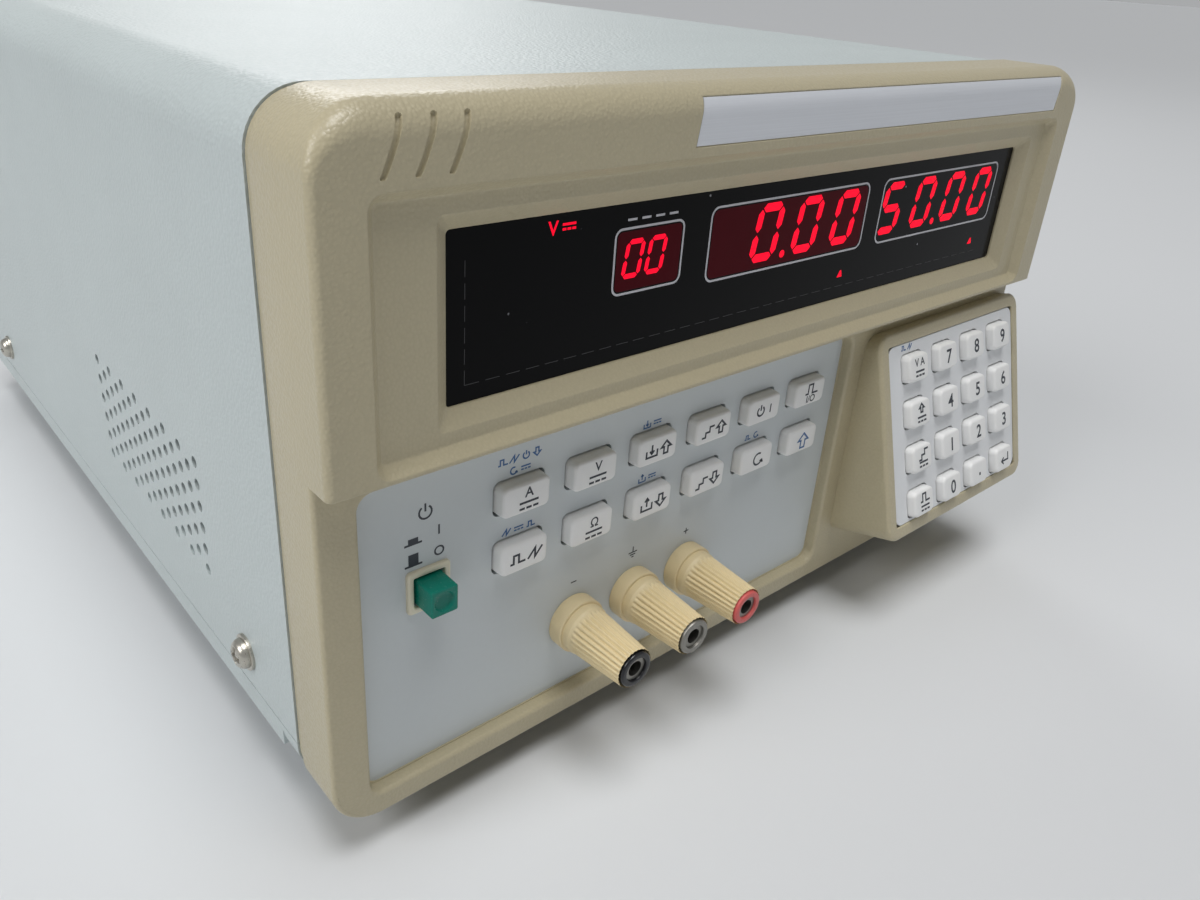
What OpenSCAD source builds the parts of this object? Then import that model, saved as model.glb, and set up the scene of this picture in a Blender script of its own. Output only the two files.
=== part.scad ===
// Bench DC electronic load: moulded front with a display brow and a wedge keypad, on a steel cabinet.
// X runs to the right, Y to the back and Z up. The origin is under the middle of the part, where it stands.
// Distances called "behind" are measured from the face of the grey control panel, towards the back.

/* [Front moulding] */
// Height of the brow over the lower frame
brow_h = 67; // [64:0.5:80]
// How far the brow stands out of the control panel
brow_out = 10; // [9.5:0.1:13]
// How far the lower frame stands out of the control panel
frame_out = 3.5; // [2.5:0.1:4.5]
// Width of the lower frame beside the control panel
frame_side = 9; // [8.5:0.05:14]
// Width of the lower frame under the control panel
frame_low = 6.2; // [4:0.1:8]
// Width of the lower frame between the control panel and the brow
frame_up = 4.7; // [3.5:0.1:6]
// Width of the strip between the control panel and the keypad
frame_strip = 6.45; // [6:0.05:10]
// Corner radius of the moulding, seen from the front
corner_r = 12; // [10:0.5:14]
// Rounding of the brow's upper front edge
brow_round = 6; // [4:0.5:7]
// Rounding of the brow's front edges at the sides
side_round = 1.6; // [1.2:0.1:2.5]
// Rounding of the lower frame's front edge
frame_round = 1; // [0.8:0.1:2.5]
// Rounding of the brow's lower edge
lip_round = 0.9; // [0.5:0.1:1]
// Wall of the moulding
bezel_wall = 3.2; // [3:0.1:3.4]
// Depth of the moulding behind the control panel
bezel_d = 14; // [12:0.5:20]
// Length of the tongue that the cover slides over
tongue_len = 6; // [4:0.5:8]
// Width of the sunk band along the moulding's rear edge
band_w = 3.2; // [2:0.1:4]

/* [Display] */
// Side margin between the moulding's side and the display recess
recess_side = 9.75; // [9:0.05:14]
// Lip between the brow's underside and the display recess
recess_lip = 1; // [1:0.1:3]
// Band of the brow over the display recess
recess_top = 14.2; // [13:0.1:16]
// Corner radius of the display recess
recess_r = 3.3; // [3.1:0.1:6]
// Width of the outer bevel
bevel_in = 2.1; // [1.5:0.1:3]
// Depth of the outer bevel
bevel_d = 2.5; // [2:0.1:3]
// Width of the ledge left of the window
ledge_left = 12.1; // [8:0.1:16]
// Width of the ledge right of the window
ledge_right = 7.2; // [5:0.1:12]
// Width of the ledge under the window
ledge_low = 2.9; // [2:0.1:4]
// Width of the ledge over the window
ledge_up = 3.3; // [2:0.1:4]
// Width of the inner bevel
inner_bevel = 3.5; // [2.5:0.1:4]
// Depth of the inner bevel
inner_d = 2.6; // [2:0.1:3]
// Corner radius of the inner bevel
inner_r = 4.3; // [4.1:0.1:6]
// Thickness of the lip that holds the window
lip_t = 0.5; // [0.4:0.1:0.8]
// Thickness of the window
window_t = 2; // [1.5:0.1:2.5]
// Height of the four-digit LED modules
digit_module_h = 19; // [17:0.5:22]
// Width of the four-digit LED modules
digit_module_w = 60; // [56:0.5:62]

/* [Control panel] */
// Thickness of the control panel
panel_t = 2; // [1.5:0.1:2.5]
// Corner radius of the panel opening
panel_r = 3.5; // [2:0.5:5]
// Width of a function key's cut-out
key_cut_w = 14.2; // [12:0.1:15]
// Height of a function key's cut-out
key_cut_h = 8.8; // [7.5:0.1:9.5]
// Distance between key columns
key_px = 20; // [18:0.5:23]
// Distance between key rows
key_pz = 15.07; // [13:0.01:17]
// Distance from the panel's left edge to the middle of the first key column
key_first = 40.45; // [38:0.05:45]
// Height of the lower key row over the moulding's underside
key_low = 53.45; // [50:0.05:56]
// Distance from the last key column to the panel's right edge
key_last = 16.4; // [12:0.1:22]
// How far the function keys stand out of the panel
key_out = 3; // [2:0.1:4]
// Travel of every key
key_travel = 1.2; // [0.8:0.1:1.5]

/* [Power switch] */
// Width of the square switch frame
switch_w = 10.55; // [10:0.05:12]
// Width of the square power button
button_w = 6.47; // [6:0.01:7]
// How far the latched power button stands out of the panel
button_out = 6.7; // [5:0.1:9]
// Distance from the panel's left edge to the middle of the switch
switch_first = 16.9; // [15:0.05:18.5]
// Travel from latched in to released
button_release = 3; // [2:0.1:3.5]

/* [Binding posts] */
// Distance between the posts
post_pitch = 19.82; // [18:0.02:22]
// Distance from the panel's left edge to the first post
post_first = 58.3; // [50:0.05:65]
// Height of the posts over the moulding's underside
post_low = 26.05; // [22:0.05:30]
// Radius of the stud
stud_r = 3; // [2.8:0.05:3.2]
// Radius of the socket for a plug
socket_r = 2; // [1.95:0.01:2.1]
// Depth of the socket
socket_len = 15; // [12:0.5:16]
// Length of a post in front of the panel
post_len = 24; // [22:0.5:26]
// Radius of the collar
collar_r = 7.2; // [6.8:0.1:8]
// Length of the collar
collar_len = 4.3; // [3.5:0.1:6]
// Radius of the cap at its band
cap_r = 6.7; // [6.5:0.1:7]
// Radius of the cap at its tip
tip_r = 5.1; // [4.8:0.1:5.4]
// Flutes round the cap
flutes = 28; // [16:1:28]
// Clearance of the cap and the washer on the stud
thread_gap = 0.08; // [0.05:0.01:0.1]

/* [Keypad] */
// Width of the keypad housing
keypad_w = 81.5; // [78:0.5:95]
// Length of the keypad face along its slope
keypad_h = 64.2; // [60:0.2:72]
// Backward lean of the keypad face, in degrees
keypad_tilt = 16; // [12:0.5:18]
// Gap between the brow and the keypad's upper edge
keypad_gap = 5; // [4:0.1:8]
// Height of the keypad's lower edge over the moulding's underside
keypad_low = 20.3; // [18:0.1:26]
// How far the keypad's upper edge stands out of the lower frame
keypad_stand = 4; // [3.5:0.1:6]
// Wall of the keypad housing
keypad_wall = 2.5; // [2:0.1:3]
// Corner radius of the keypad face
keypad_r = 5; // [4:0.1:6]
// Rounding round the keypad face
keypad_round = 1.5; // [1:0.1:2.5]
// Border round the keypad plate
keypad_border = 4.2; // [4:0.1:5]
// Thickness of the keypad plate
plate_t = 1.2; // [0.8:0.1:1.5]
// Width of a keypad key
pad_w = 10.7; // [10:0.1:12.5]
// Height of a keypad key
pad_h = 8.6; // [8:0.1:10]
// Distance between keypad columns
pad_px = 16.6; // [16:0.1:17]
// Distance between keypad rows
pad_py = 14.15; // [13.5:0.05:14.5]
// Distance from the housing's left side to the first keypad column
pad_first = 16.2; // [15.5:0.1:17]
// Distance from the face's lower edge to the lowest keypad row
pad_low = 9.6; // [9.4:0.1:10.5]
// How far the keypad keys stand out of the housing's face
pad_out = 2.3; // [1.8:0.1:3]

/* [Cabinet] */
// Length of the steel cover
cover_len = 292; // [260:1:360]
// Thickness of the sheet steel
sheet_t = 1; // [0.8:0.1:1.1]
// How far the cover lies inside the moulding's outline
sheet_in = 0.5; // [0.4:0.1:0.7]
// Height of the seam between cover and base, over the moulding's underside
seam_low = 13; // [12.8:0.1:18]
// Height of the base's upright flanges over that seam
flange_up = 24; // [20:1:40]
// Height of the feet
foot_h = 10; // [6:0.5:16]
// Radius of the feet
foot_r = 11; // [8:0.5:13]
// Radius of a vent hole
vent_r = 1.5; // [1:0.1:1.8]
// Distance between vent holes in a column
vent_pitch = 6; // [5:0.1:8]
// Holes in a full vent column
vent_rows = 6; // [4:1:8]
// Vent columns on each side
vent_cols = 15; // [7:1:21]
// Distance of the first vent column behind the panel
vent_first = 59.7; // [50:0.1:80]
// Height of the lowest vent hole over the moulding's underside
vent_low = 34; // [32:0.5:50]
// Distance of the front side screws behind the panel
screw_first = 39.4; // [32:0.1:48]
// Height of the side screws over the moulding's underside
screw_low = 22.2; // [21:0.1:28]
// Radius of the case screws
screw_r = 2; // [1.5:0.1:2.2]

/* [Inside and rear] */
// Thickness of the rear panel
rear_t = 1.5; // [1:0.1:2]
// How far the rear panel lies inside the cover's rear edge
rear_in = 2; // [1:0.1:5]
// Side of the square fan
fan_w = 80; // [70:1:85]
// Depth of the fan
fan_d = 25; // [22:0.5:30]
// Fan blades
blades = 7; // [5:1:9]
// Length of the heat sink
sink_len = 140; // [100:1:160]
// Height of the heat sink
sink_h = 112; // [90:1:120]
// Thickness of a heat sink fin
fin_t = 1.8; // [1.2:0.1:2.4]
// Fins of the heat sink
fins = 12; // [8:1:14]
// Thickness of the circuit boards
board_t = 1.6; // [1.2:0.1:2]
// Height of the board posts
boss_h = 8; // [5:0.5:10]
// How far the interface socket stands out of the rear panel
socket_out = 6; // [4.5:0.1:8]

/* [Hidden] */
$fn = 48;
cut = 1;
fit_gap = 0.2;
run_gap = 0.3;
body_colour = "#bdb293";
cover_colour = "#bec8c8";
panel_colour = "#a3a9ae";
key_colour = "#f0f0ee";
post_colour = "#dcc594";
board_colour = "#2f6b45";
metal_colour = "#b9bcbf";

// Sizes worked out from the driving ones
key_cols = 6;
panel_w = key_first + (key_cols - 1) * key_px + key_last;
keypad_inset = 0.2;
body_w = frame_side + panel_w + frame_strip + keypad_w + keypad_inset;
lower_h = keypad_low + keypad_h * cos(keypad_tilt) + keypad_gap;
bezel_h = lower_h + brow_h;
left_x = -body_w / 2;
brow_z = foot_h + lower_h;
mid_z = foot_h + bezel_h / 2;

// Display recess, inner bevel and window, as width, height and middle
recess_w = body_w - 2 * recess_side;
recess_h = brow_h - recess_lip - recess_top;
recess_z = brow_z + recess_lip + recess_h / 2;
inner_w = recess_w - 2 * bevel_in - ledge_left - ledge_right;
inner_h = recess_h - 2 * bevel_in - ledge_low - ledge_up;
inner_x = (ledge_left - ledge_right) / 2;
inner_z = recess_z + (ledge_low - ledge_up) / 2;
ledge_v = brow_out - bevel_d;
window_v = ledge_v - inner_d - lip_t;
window_w = inner_w - 2 * inner_bevel;
window_h = inner_h - 2 * inner_bevel;
window_r = inner_r - inner_bevel;
window_seat = 3;
window_left = inner_x - window_w / 2;
pane_w = window_w + 2 * window_seat;
pane_h = window_h + 2 * window_seat;

// LED modules: middle from the window's left edge, width and height
digit_lift = 4.7;
small_module_w = 13;
small_module_h = 12.7;
modules = [
    [51.1, small_module_w, small_module_h],
    [99.95, digit_module_w, digit_module_h],
    [167, digit_module_w, digit_module_h]
];
module_gap = 1.5;

// Posts of the moulding for the front board
boss_r = 3;
boss_in = 6;
boss_up = 8;
boss_down = 4;

// Marks of the brow: three slanted grooves and the sunk field for a label strip
mark_slant = 25;
mark_low = brow_z + recess_lip + recess_h + 1.9;
mark_h = 10.4;
groove_w = 1.2;
groove_d = 0.8;
groove_first = 12;
groove_pitch = 6.4;
label_first = 83.5;
label_last = 10;
label_d = 0.4;
band_d = 0.8;

// Control panel
panel_left = left_x + frame_side;
panel_low = foot_h + frame_low;
panel_h = brow_z - frame_up - panel_low;
panel_margin = 3;
key_gap = 0.4;
key_r = 1.8;
key_round = 1.1;
key_flange = 0.9;
key_flange_t = 1;
key_rest = panel_t + run_gap + key_flange_t;
tact_w = 6;
tact_h = 2.3;
tact_r = 1.7;
tact_tip = 0.6;
board_v = key_rest + key_travel + run_gap + tact_h + tact_h / 2;
key_z = foot_h + key_low;

// Power switch
switch_x = panel_left + switch_first;
switch_proud = 1;
button_gap = 0.35;
button_r = 1;
button_round = 0.4;
button_back = panel_t + 1;
button_over = 0.6;
stem_w = 4;
stem_held = 9;
stem_len = stem_held + button_release;
switch_body_w = 14;
switch_end = 2;
switch_body_d = button_back + stem_len + button_over + switch_end;
dish_r = 2.3;
dish_d = 0.5;

// Binding posts
posts = 3;
post_x = panel_left + post_first;
post_z = foot_h + post_low;
stud_back = 14;
stud_in = 0.7;
collar_round = 1;
cap_step = 0.5;
tip_len = 0.8;
band_len = 3.5;
washer_t = 1.2;
washer_r = cap_r - 1.6;
cap_low = collar_len + run_gap;
washer_low = cap_low + run_gap;
flute_r = 0.42;
nut_h = 4;
nut_r = 5.8;

// Keypad: the middle of its face, and the depths below the face
keypad_x = left_x + body_w - keypad_inset - keypad_w / 2;
keypad_left = keypad_x - keypad_w / 2;
keypad_v = -frame_out - keypad_stand - keypad_h / 2 * sin(keypad_tilt);
keypad_z = foot_h + keypad_low + keypad_h / 2 * cos(keypad_tilt);
plate_sunk = 0.4;
plate_low = plate_t + plate_sunk;
plate_r = 2.8;
face_t = 2;
face_back = plate_low + face_t;
pad_rest = face_back + run_gap + key_flange_t;
pad_board = pad_rest + key_travel + run_gap + tact_h;
pads = 4;
pad_x = pad_first - keypad_w / 2;
pad_y = pad_low - keypad_h / 2;
pad_r = 2;
pad_round = 1.2;
pad_boss_r = 1.6;
board_in = 1;

// Rear end and overall length
rear_v = bezel_d + cover_len - rear_in;
pad_edge = pad_h / 2 - pad_round;
pad_sink = (pad_y - pad_edge) * sin(keypad_tilt);
pad_front = keypad_v + pad_sink - (pad_out - pad_round) * cos(keypad_tilt) - pad_round;
front_reach = max(-pad_front, post_len);
rear_reach = max(rear_v + socket_out, bezel_d + cover_len);
panel_y = front_reach - (front_reach + rear_reach) / 2;

// Cabinet
seam_z = foot_h + seam_low;
seam_gap = 0.3;
base_z = foot_h + sheet_in;
floor_z = base_z + sheet_t;
inner_in = sheet_in + sheet_t + run_gap;
flange_in = sheet_in + sheet_t + fit_gap;
flange_first = bezel_d + tongue_len + 2;
flange_v = [flange_first, rear_v - rear_t - fit_gap];
joggle_h = 6;
screw_v = [screw_first, rear_v - screw_first];
screw_z = foot_h + screw_low;
hole_gap = 0.15;
head_r = 3.8;
head_h = 2.5;
head_round = 1.4;
foot_round = 1.2;
case_washer_r = 4.6;
case_washer_t = 0.8;
screw_len = 7;
vent_px = vent_pitch * cos(30);
vent_z = foot_h + vent_low;
foot_x = body_w / 2 - 32;
foot_v = [bezel_d + tongue_len + 18, rear_v - 40];

// Rear pieces
fan_x = 62;
fan_z = floor_z + sink_h / 2 + 4;
fan_r = fan_w / 2 - 2.5;
fan_v = rear_v - rear_t - fan_d;
hub_r = 17;
hub_wall = 2;
shaft_r = 1.5;
shaft_gap = 0.05;
bearing_r = 4;
bearing_len = 12;
strut_t = 3;
strut_w = 4;
fan_corner = 4;
rotor_gap = 0.8;
rotor_len = fan_d - strut_t - 2 * rotor_gap;
blade_t = 1.5;
blade_pitch = 38;
blade_gap = 1.5;
blade_share = 0.9;
grille_rings = [9, 17, 25, 33];
grille_w = 5;
grille_bar = 3;
sink_v = fan_v - 8;
sink_x = 16;
sink_base = 8;
fin_len = 88;
tab_x = 105;
tab_w = 12;
tab_h = 14;
tab_z = floor_z + 8;
inlet_x = -92;
inlet_z = floor_z + 26;
inlet_w = 28;
inlet_h = 20.5;
inlet_wall = 1.8;
inlet_flange_w = 50;
inlet_flange_h = 24;
inlet_flange_t = 3;
inlet_r = 4;
inlet_d = 24;
inlet_cavity = 17;
inlet_cut = 6;
pin_w = 2;
pin_h = 4.4;
pin_gap = 7;
pin_rise = 4;
link_x = -72;
link_z = floor_z + 92;
link_w = 56;
link_h = 14;
link_wall = 1.6;
link_flange_w = 76;
link_flange_h = 18;
link_flange_t = 1.5;
link_r = 2;
link_d = 9;
link_slope = 3;
link_tongue_h = 2.6;

// Main board and transformer
main_x = [-112, sink_x - 2];
main_v = [52, sink_v - sink_len + 42];
main_boss_r = 3.2;
main_edge = 8;
main_z = floor_z + boss_h;
// Capacitors: place across and behind the panel, radius and height
capacitors = [[-92, 76, 8, 28], [-92, 100, 8, 28], [-70, 80, 6, 18], [-20, 84, 5, 14]];
// Chips and coils: place across and behind the panel, then width, depth and height
chips = [[-48, 78, 30, 12, 6], [-48, 104, 24, 14, 5], [-86, 126, 30, 14, 16], [-46, 128, 26, 12, 10]];
transistors = 3;
transistor_first = 10;
transistor_pitch = 12;
transistor_t = 5;
transistor_h = 20;
transistor_lift = 9;
leg_w = 10;
leg_t = 0.8;
coil_x = -72;
coil_v = rear_v - 82;
core_w = 66;
core_d = 30;
core_h = 55;
winding_w = 42;
winding_d = 52;
winding_h = 36;
winding_r = 8;
winding_round = 3;
core_foot_w = 84;
core_foot_t = 1.5;

// Names of the nodes
fn_names = [for (row = ["a", "b"], col = [1:key_cols]) str("fn_key_", row, col)];
pad_names = [for (row = [1:pads], col = [1:pads]) str("pad_key_r", row, "c", col)];
post_names = ["minus", "ground", "plus"];
cap_names = [for (name = post_names) str("post_cap_", name)];
washer_names = [for (name = post_names) str("clamp_washer_", name)];

// Places: a point of the front with its normal towards the viewer, a point of the rear, a point of the
// keypad face, and a flat shape carried from front to back
module at_front(x, v, z) {
    translate([x, panel_y + v, z]) rotate([90, 0, 0]) children();
}
module at_rear(x, v, z) {
    translate([x, panel_y + v, z]) rotate([-90, 0, 0]) children();
}
module at_keypad(x, y) {
    translate([keypad_x, panel_y + keypad_v, keypad_z]) rotate([90 - keypad_tilt, 0, 0])
        translate([x, y, 0]) children();
}
module run(v0, v1) {
    translate([0, panel_y + v1, 0]) rotate([90, 0, 0]) linear_extrude(v1 - v0) children();
}

// Flat shapes
module rounded_rect(w, h, r) {
    square([w - 2 * r, h], center = true);
    square([w, h - 2 * r], center = true);
    for (sx = [-1, 1], sy = [-1, 1]) translate([sx * (w / 2 - r), sy * (h / 2 - r)]) circle(r);
}
// Edge profile from -corner to 0, with a rounded upper edge
module round_edge(corner, low, high, r) {
    translate([-corner, low]) square([corner, high - low - r]);
    translate([-corner, low]) square([corner - r, high - low]);
    intersection() {
        translate([-r, high - r]) circle(r);
        translate([-r, high - r]) square(r);
    }
}
// Edge profile of a pocket that narrows from its mouth at 0 down to -deep
module flared_edge(corner, deep, flare) {
    polygon([[-corner, -deep], [-flare, -deep], [0, 0], [0, cut], [-corner, cut]]);
}
// Outline of the cabinet, a given distance inside the moulding's own outline
module case_outline(inset) {
    translate([0, mid_z]) rounded_rect(body_w - 2 * inset, bezel_h - 2 * inset, corner_r - inset);
}
module case_ring(inset, wall) {
    difference() {
        case_outline(inset);
        case_outline(inset + wall);
    }
}

// Block whose edge profile is carried round a rounded rectangle
module carried(w, h, corner, low, high) {
    sx = w / 2 - corner;
    sy = h / 2 - corner;
    ends = [[1, 1], [-1, 1], [-1, -1], [1, -1]];
    translate([-sx, -sy, low]) cube([2 * sx, 2 * sy, high - low]);
    for (turn = [0, 180]) {
        rotate(turn) translate([w / 2, sy, 0]) rotate([90, 0, 0]) linear_extrude(2 * sy) children();
        rotate(turn + 90) translate([h / 2, sx, 0]) rotate([90, 0, 0]) linear_extrude(2 * sx) children();
    }
    for (q = [0:3]) {
        translate([ends[q][0] * sx, ends[q][1] * sy, 0]) rotate(90 * q)
            rotate_extrude(angle = 90) translate([corner, 0]) children();
    }
}
module soft_block(w, h, low, high, corner, r) {
    carried(w, h, corner, low, high) round_edge(corner, low, high, r);
}
module flared_pocket(w, h, deep, corner, flare) {
    carried(w, h, corner, -deep, cut) flared_edge(corner, deep, flare);
}
module tilted_bar(x, w, h) {
    multmatrix([[1, tan(mark_slant), 0, x], [0, 1, 0, 0], [0, 0, 1, 0]]) square([w, h]);
}

// Front moulding
module brow_slab(inset) {
    front = brow_out - inset;
    top = foot_h + bezel_h - inset;
    r = brow_round - inset;
    translate([left_x, panel_y, 0]) rotate([90, 0, 90]) linear_extrude(body_w) {
        translate([-front, brow_z + lip_round]) square([front + bezel_d, top - r - brow_z - lip_round]);
        translate([-front + lip_round, brow_z]) square([front + bezel_d - lip_round, top - r - brow_z]);
        translate([-front + r, top - r]) square([front + bezel_d - r, r]);
        translate([-front + lip_round, brow_z + lip_round]) circle(lip_round);
        translate([-front + r, top - r]) circle(r);
    }
}
module brow_body(inset) {
    w = body_w - 2 * inset;
    h = bezel_h - 2 * inset;
    intersection() {
        at_front(0, 0, mid_z)
            soft_block(w, h, -bezel_d, brow_out - inset, corner_r - inset, side_round - inset);
        brow_slab(inset);
    }
}
module brow_marks() {
    difference() {
        run(-brow_out - cut, 0) translate([left_x, mark_low]) for (i = [0:2]) {
            tilted_bar(groove_first + i * groove_pitch, groove_w, mark_h);
        }
        brow_body(groove_d);
    }
    difference() {
        run(-brow_out - cut, 0) translate([left_x, mark_low])
            tilted_bar(label_first, body_w - label_first - label_last - mark_h * tan(mark_slant), mark_h);
        brow_body(label_d);
    }
}
module panel_opening() {
    translate([panel_left + panel_w / 2, panel_low + panel_h / 2]) rounded_rect(panel_w, panel_h, panel_r);
}
module keypad_opening() {
    low = keypad_z - (keypad_h / 2 - keypad_wall) * cos(keypad_tilt);
    high = brow_z - keypad_gap - keypad_wall;
    translate([keypad_left + keypad_wall, low]) square([keypad_w - 2 * keypad_wall, high - low]);
}
module board_bosses() {
    for (sx = [-1, 1], z = [recess_z - recess_h / 2 + boss_up, recess_z + recess_h / 2 - boss_down])
        at_front(sx * (recess_w / 2 - boss_in), board_v, z) cylinder(r = boss_r, h = board_v);
}
module front_bezel() color(body_colour) {
    difference() {
        union() {
            at_front(0, 0, mid_z) soft_block(body_w, bezel_h, -bezel_d, frame_out, corner_r, frame_round);
            brow_body(0);
        }
        run(0, bezel_d + cut) case_outline(bezel_wall);
        at_front(0, -brow_out, recess_z) flared_pocket(recess_w, recess_h, bevel_d, recess_r, bevel_in);
        at_front(inner_x, -ledge_v, inner_z) flared_pocket(inner_w, inner_h, inner_d, inner_r, inner_bevel);
        run(-brow_out, cut) translate([inner_x, inner_z]) rounded_rect(window_w, window_h, window_r);
        run(-window_v, cut) translate([inner_x, inner_z])
            rounded_rect(pane_w + 2 * fit_gap, pane_h + 2 * fit_gap, window_r);
        run(-frame_out - cut, cut) panel_opening();
        run(-frame_out - cut, cut) keypad_opening();
        run(bezel_d - band_w, bezel_d + cut) difference() {
            case_outline(-cut);
            case_outline(band_d);
        }
        brow_marks();
    }
    run(bezel_d - cut, bezel_d + tongue_len) case_ring(inner_in, bezel_wall - inner_in);
    board_bosses();
}
module display_window() color("#141416") {
    run(-window_v, window_t - window_v) translate([inner_x, inner_z]) rounded_rect(pane_w, pane_h, window_r);
}

// Control panel with its keys
module key_grid() {
    for (row = [0:1], col = [0:key_cols - 1])
        translate([panel_left + key_first + col * key_px, key_z + row * key_pz]) children();
}
module control_panel() color(panel_colour) {
    low = foot_h + bezel_wall + fit_gap;
    high = brow_z + panel_margin;
    difference() {
        run(0, panel_t) intersection() {
            translate([panel_left - panel_margin, low]) square([panel_w + 2 * panel_margin, high - low]);
            case_outline(bezel_wall + fit_gap);
        }
        run(-cut, panel_t + cut) {
            key_grid() rounded_rect(key_cut_w, key_cut_h, key_r);
            translate([switch_x, key_z]) square(button_w + 2 * button_gap, center = true);
        }
        for (i = [0:posts - 1]) at_post(i) translate([0, 0, -panel_t - cut])
            cylinder(r = stud_r + run_gap, h = panel_t + 2 * cut);
    }
}
module key_cap(w, h, rest, out, corner, r) {
    soft_block(w, h, -rest, out, corner, r);
    translate([0, 0, -rest + key_flange_t / 2])
        cube([w + 2 * key_flange, h + 2 * key_flange, key_flange_t], center = true);
}
module fn_key(row, col) color(key_colour) {
    w = key_cut_w - 2 * key_gap;
    h = key_cut_h - 2 * key_gap;
    at_front(panel_left + key_first + col * key_px, 0, key_z + (1 - row) * key_pz)
        key_cap(w, h, key_rest, key_out, key_r, key_round);
}
module switch_frame() color("#e6dfc8") {
    at_front(switch_x, 0, key_z) difference() {
        soft_block(switch_w, switch_w, 0, switch_proud, switch_proud, switch_proud / 2);
        cube([button_w + 2 * button_gap, button_w + 2 * button_gap, 3 * switch_proud], center = true);
    }
}
module power_button() color("#10806c") {
    at_front(switch_x, 0, key_z) difference() {
        union() {
            soft_block(button_w, button_w, -button_back, button_out, button_r, button_round);
            translate([-stem_w / 2, -stem_w / 2, -button_back - stem_len])
                cube([stem_w, stem_w, stem_len + cut]);
        }
        translate([0, 0, button_out - dish_d])
            cylinder(r1 = dish_r - dish_d, r2 = dish_r + dish_d, h = 2 * dish_d);
    }
}
module switch_body() color("#2b2b2e") {
    room = button_w + 2 * button_gap;
    stem_room = stem_w + 2 * button_gap;
    deep = button_back + button_over + run_gap;
    stem_deep = button_back + stem_len + button_over + run_gap;
    at_front(switch_x, 0, key_z) difference() {
        translate([-switch_body_w / 2, -switch_body_w / 2, -switch_body_d])
            cube([switch_body_w, switch_body_w, switch_body_d - panel_t]);
        translate([-room / 2, -room / 2, -deep]) cube([room, room, deep]);
        translate([-stem_room / 2, -stem_room / 2, -stem_deep]) cube([stem_room, stem_room, stem_deep]);
    }
}

// Binding posts
module at_post(i) {
    at_front(post_x + i * post_pitch, 0, post_z) children();
}
module post_collars() color(post_colour) {
    bore = stud_r + fit_gap;
    for (i = [0:posts - 1]) at_post(i) rotate_extrude() translate([collar_r, 0])
        round_edge(collar_r - bore, 0, collar_len, collar_round);
}
module post_studs() color(metal_colour) {
    top = post_len - stud_in;
    for (i = [0:posts - 1]) at_post(i) difference() {
        translate([0, 0, -stud_back]) cylinder(r = stud_r, h = stud_back + top);
        translate([0, 0, top - socket_len]) cylinder(r = socket_r, h = socket_len + cut);
    }
}
module post_nuts() color(metal_colour) {
    for (i = [0:posts - 1]) at_post(i) translate([0, 0, -panel_t - nut_h]) difference() {
        cylinder(r = nut_r, h = nut_h, $fn = 6);
        translate([0, 0, -cut]) cylinder(r = stud_r + thread_gap, h = nut_h + 2 * cut);
    }
}
module cap_flutes(low, high, r0, r1) {
    lean = atan((r0 - r1) / (high - low));
    for (k = [0:flutes - 1])
        rotate(k * 360 / flutes) translate([r0, 0, low]) rotate([0, -lean, 0])
            cylinder(r = flute_r, h = high - low + cut);
}
module post_cap(i) color(post_colour) {
    bore = stud_r + thread_gap;
    band = cap_low + band_len;
    barrel_r = cap_r - cap_step;
    end_r = tip_r - cap_step;
    shoulder = post_len - tip_len;
    well_r = washer_r + run_gap;
    well = washer_low + washer_t + run_gap;
    at_post(i) difference() {
        rotate_extrude() polygon([
            [well_r, cap_low], [cap_r, cap_low], [cap_r, band - cap_step], [barrel_r, band],
            [tip_r, shoulder], [end_r, shoulder], [end_r, post_len], [bore, post_len],
            [bore, well], [well_r, well]
        ]);
        cap_flutes(band + cut, shoulder, barrel_r, tip_r);
    }
}
module clamp_washer(i) color(metal_colour) {
    bore = stud_r + thread_gap;
    at_post(i) translate([0, 0, washer_low]) difference() {
        cylinder(r = washer_r, h = washer_t);
        translate([0, 0, -cut]) cylinder(r = bore, h = washer_t + 2 * cut);
    }
}

// Keypad
module behind_frame() {
    far = keypad_h + keypad_w;
    translate([keypad_x - far, panel_y - frame_out, -far]) cube([2 * far, far, 4 * far]);
}
module pad_grid() {
    for (row = [0:pads - 1], col = [0:pads - 1])
        translate([pad_x + col * pad_px, pad_y + row * pad_py]) children();
}
module pad_holes(low) {
    translate([0, 0, low]) linear_extrude(-low + cut) pad_grid()
        rounded_rect(pad_w + 2 * key_gap, pad_h + 2 * key_gap, pad_r);
}
module pad_boss_grid() {
    edge = keypad_wall + pad_boss_r + fit_gap;
    for (sx = [-1, 1], sy = [-1, 1])
        translate([sx * (keypad_w / 2 - edge), sy * (keypad_h / 2 - edge)]) children();
}
module keypad_housing() color(body_colour) {
    room_w = keypad_w - 2 * keypad_wall;
    room_h = keypad_h - 2 * keypad_wall;
    deep = keypad_h;
    difference() {
        at_keypad(0, 0) difference() {
            soft_block(keypad_w, keypad_h, -deep, 0, keypad_r, keypad_round);
            translate([0, 0, -plate_low]) linear_extrude(plate_low + cut)
                rounded_rect(keypad_w - 2 * keypad_border, keypad_h - 2 * keypad_border, plate_r);
            pad_holes(-deep);
            translate([0, 0, -deep - cut]) linear_extrude(deep + cut - face_back)
                rounded_rect(room_w, room_h, keypad_r - keypad_wall);
        }
        behind_frame();
    }
    at_keypad(0, 0) translate([0, 0, -pad_board]) linear_extrude(pad_board - face_back + cut)
        pad_boss_grid() circle(pad_boss_r);
}
module keypad_plate() color(panel_colour) {
    w = keypad_w - 2 * keypad_border - 2 * fit_gap;
    h = keypad_h - 2 * keypad_border - 2 * fit_gap;
    at_keypad(0, 0) difference() {
        translate([0, 0, -plate_low]) linear_extrude(plate_t) rounded_rect(w, h, plate_r);
        pad_holes(-plate_low - cut);
    }
}
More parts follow.
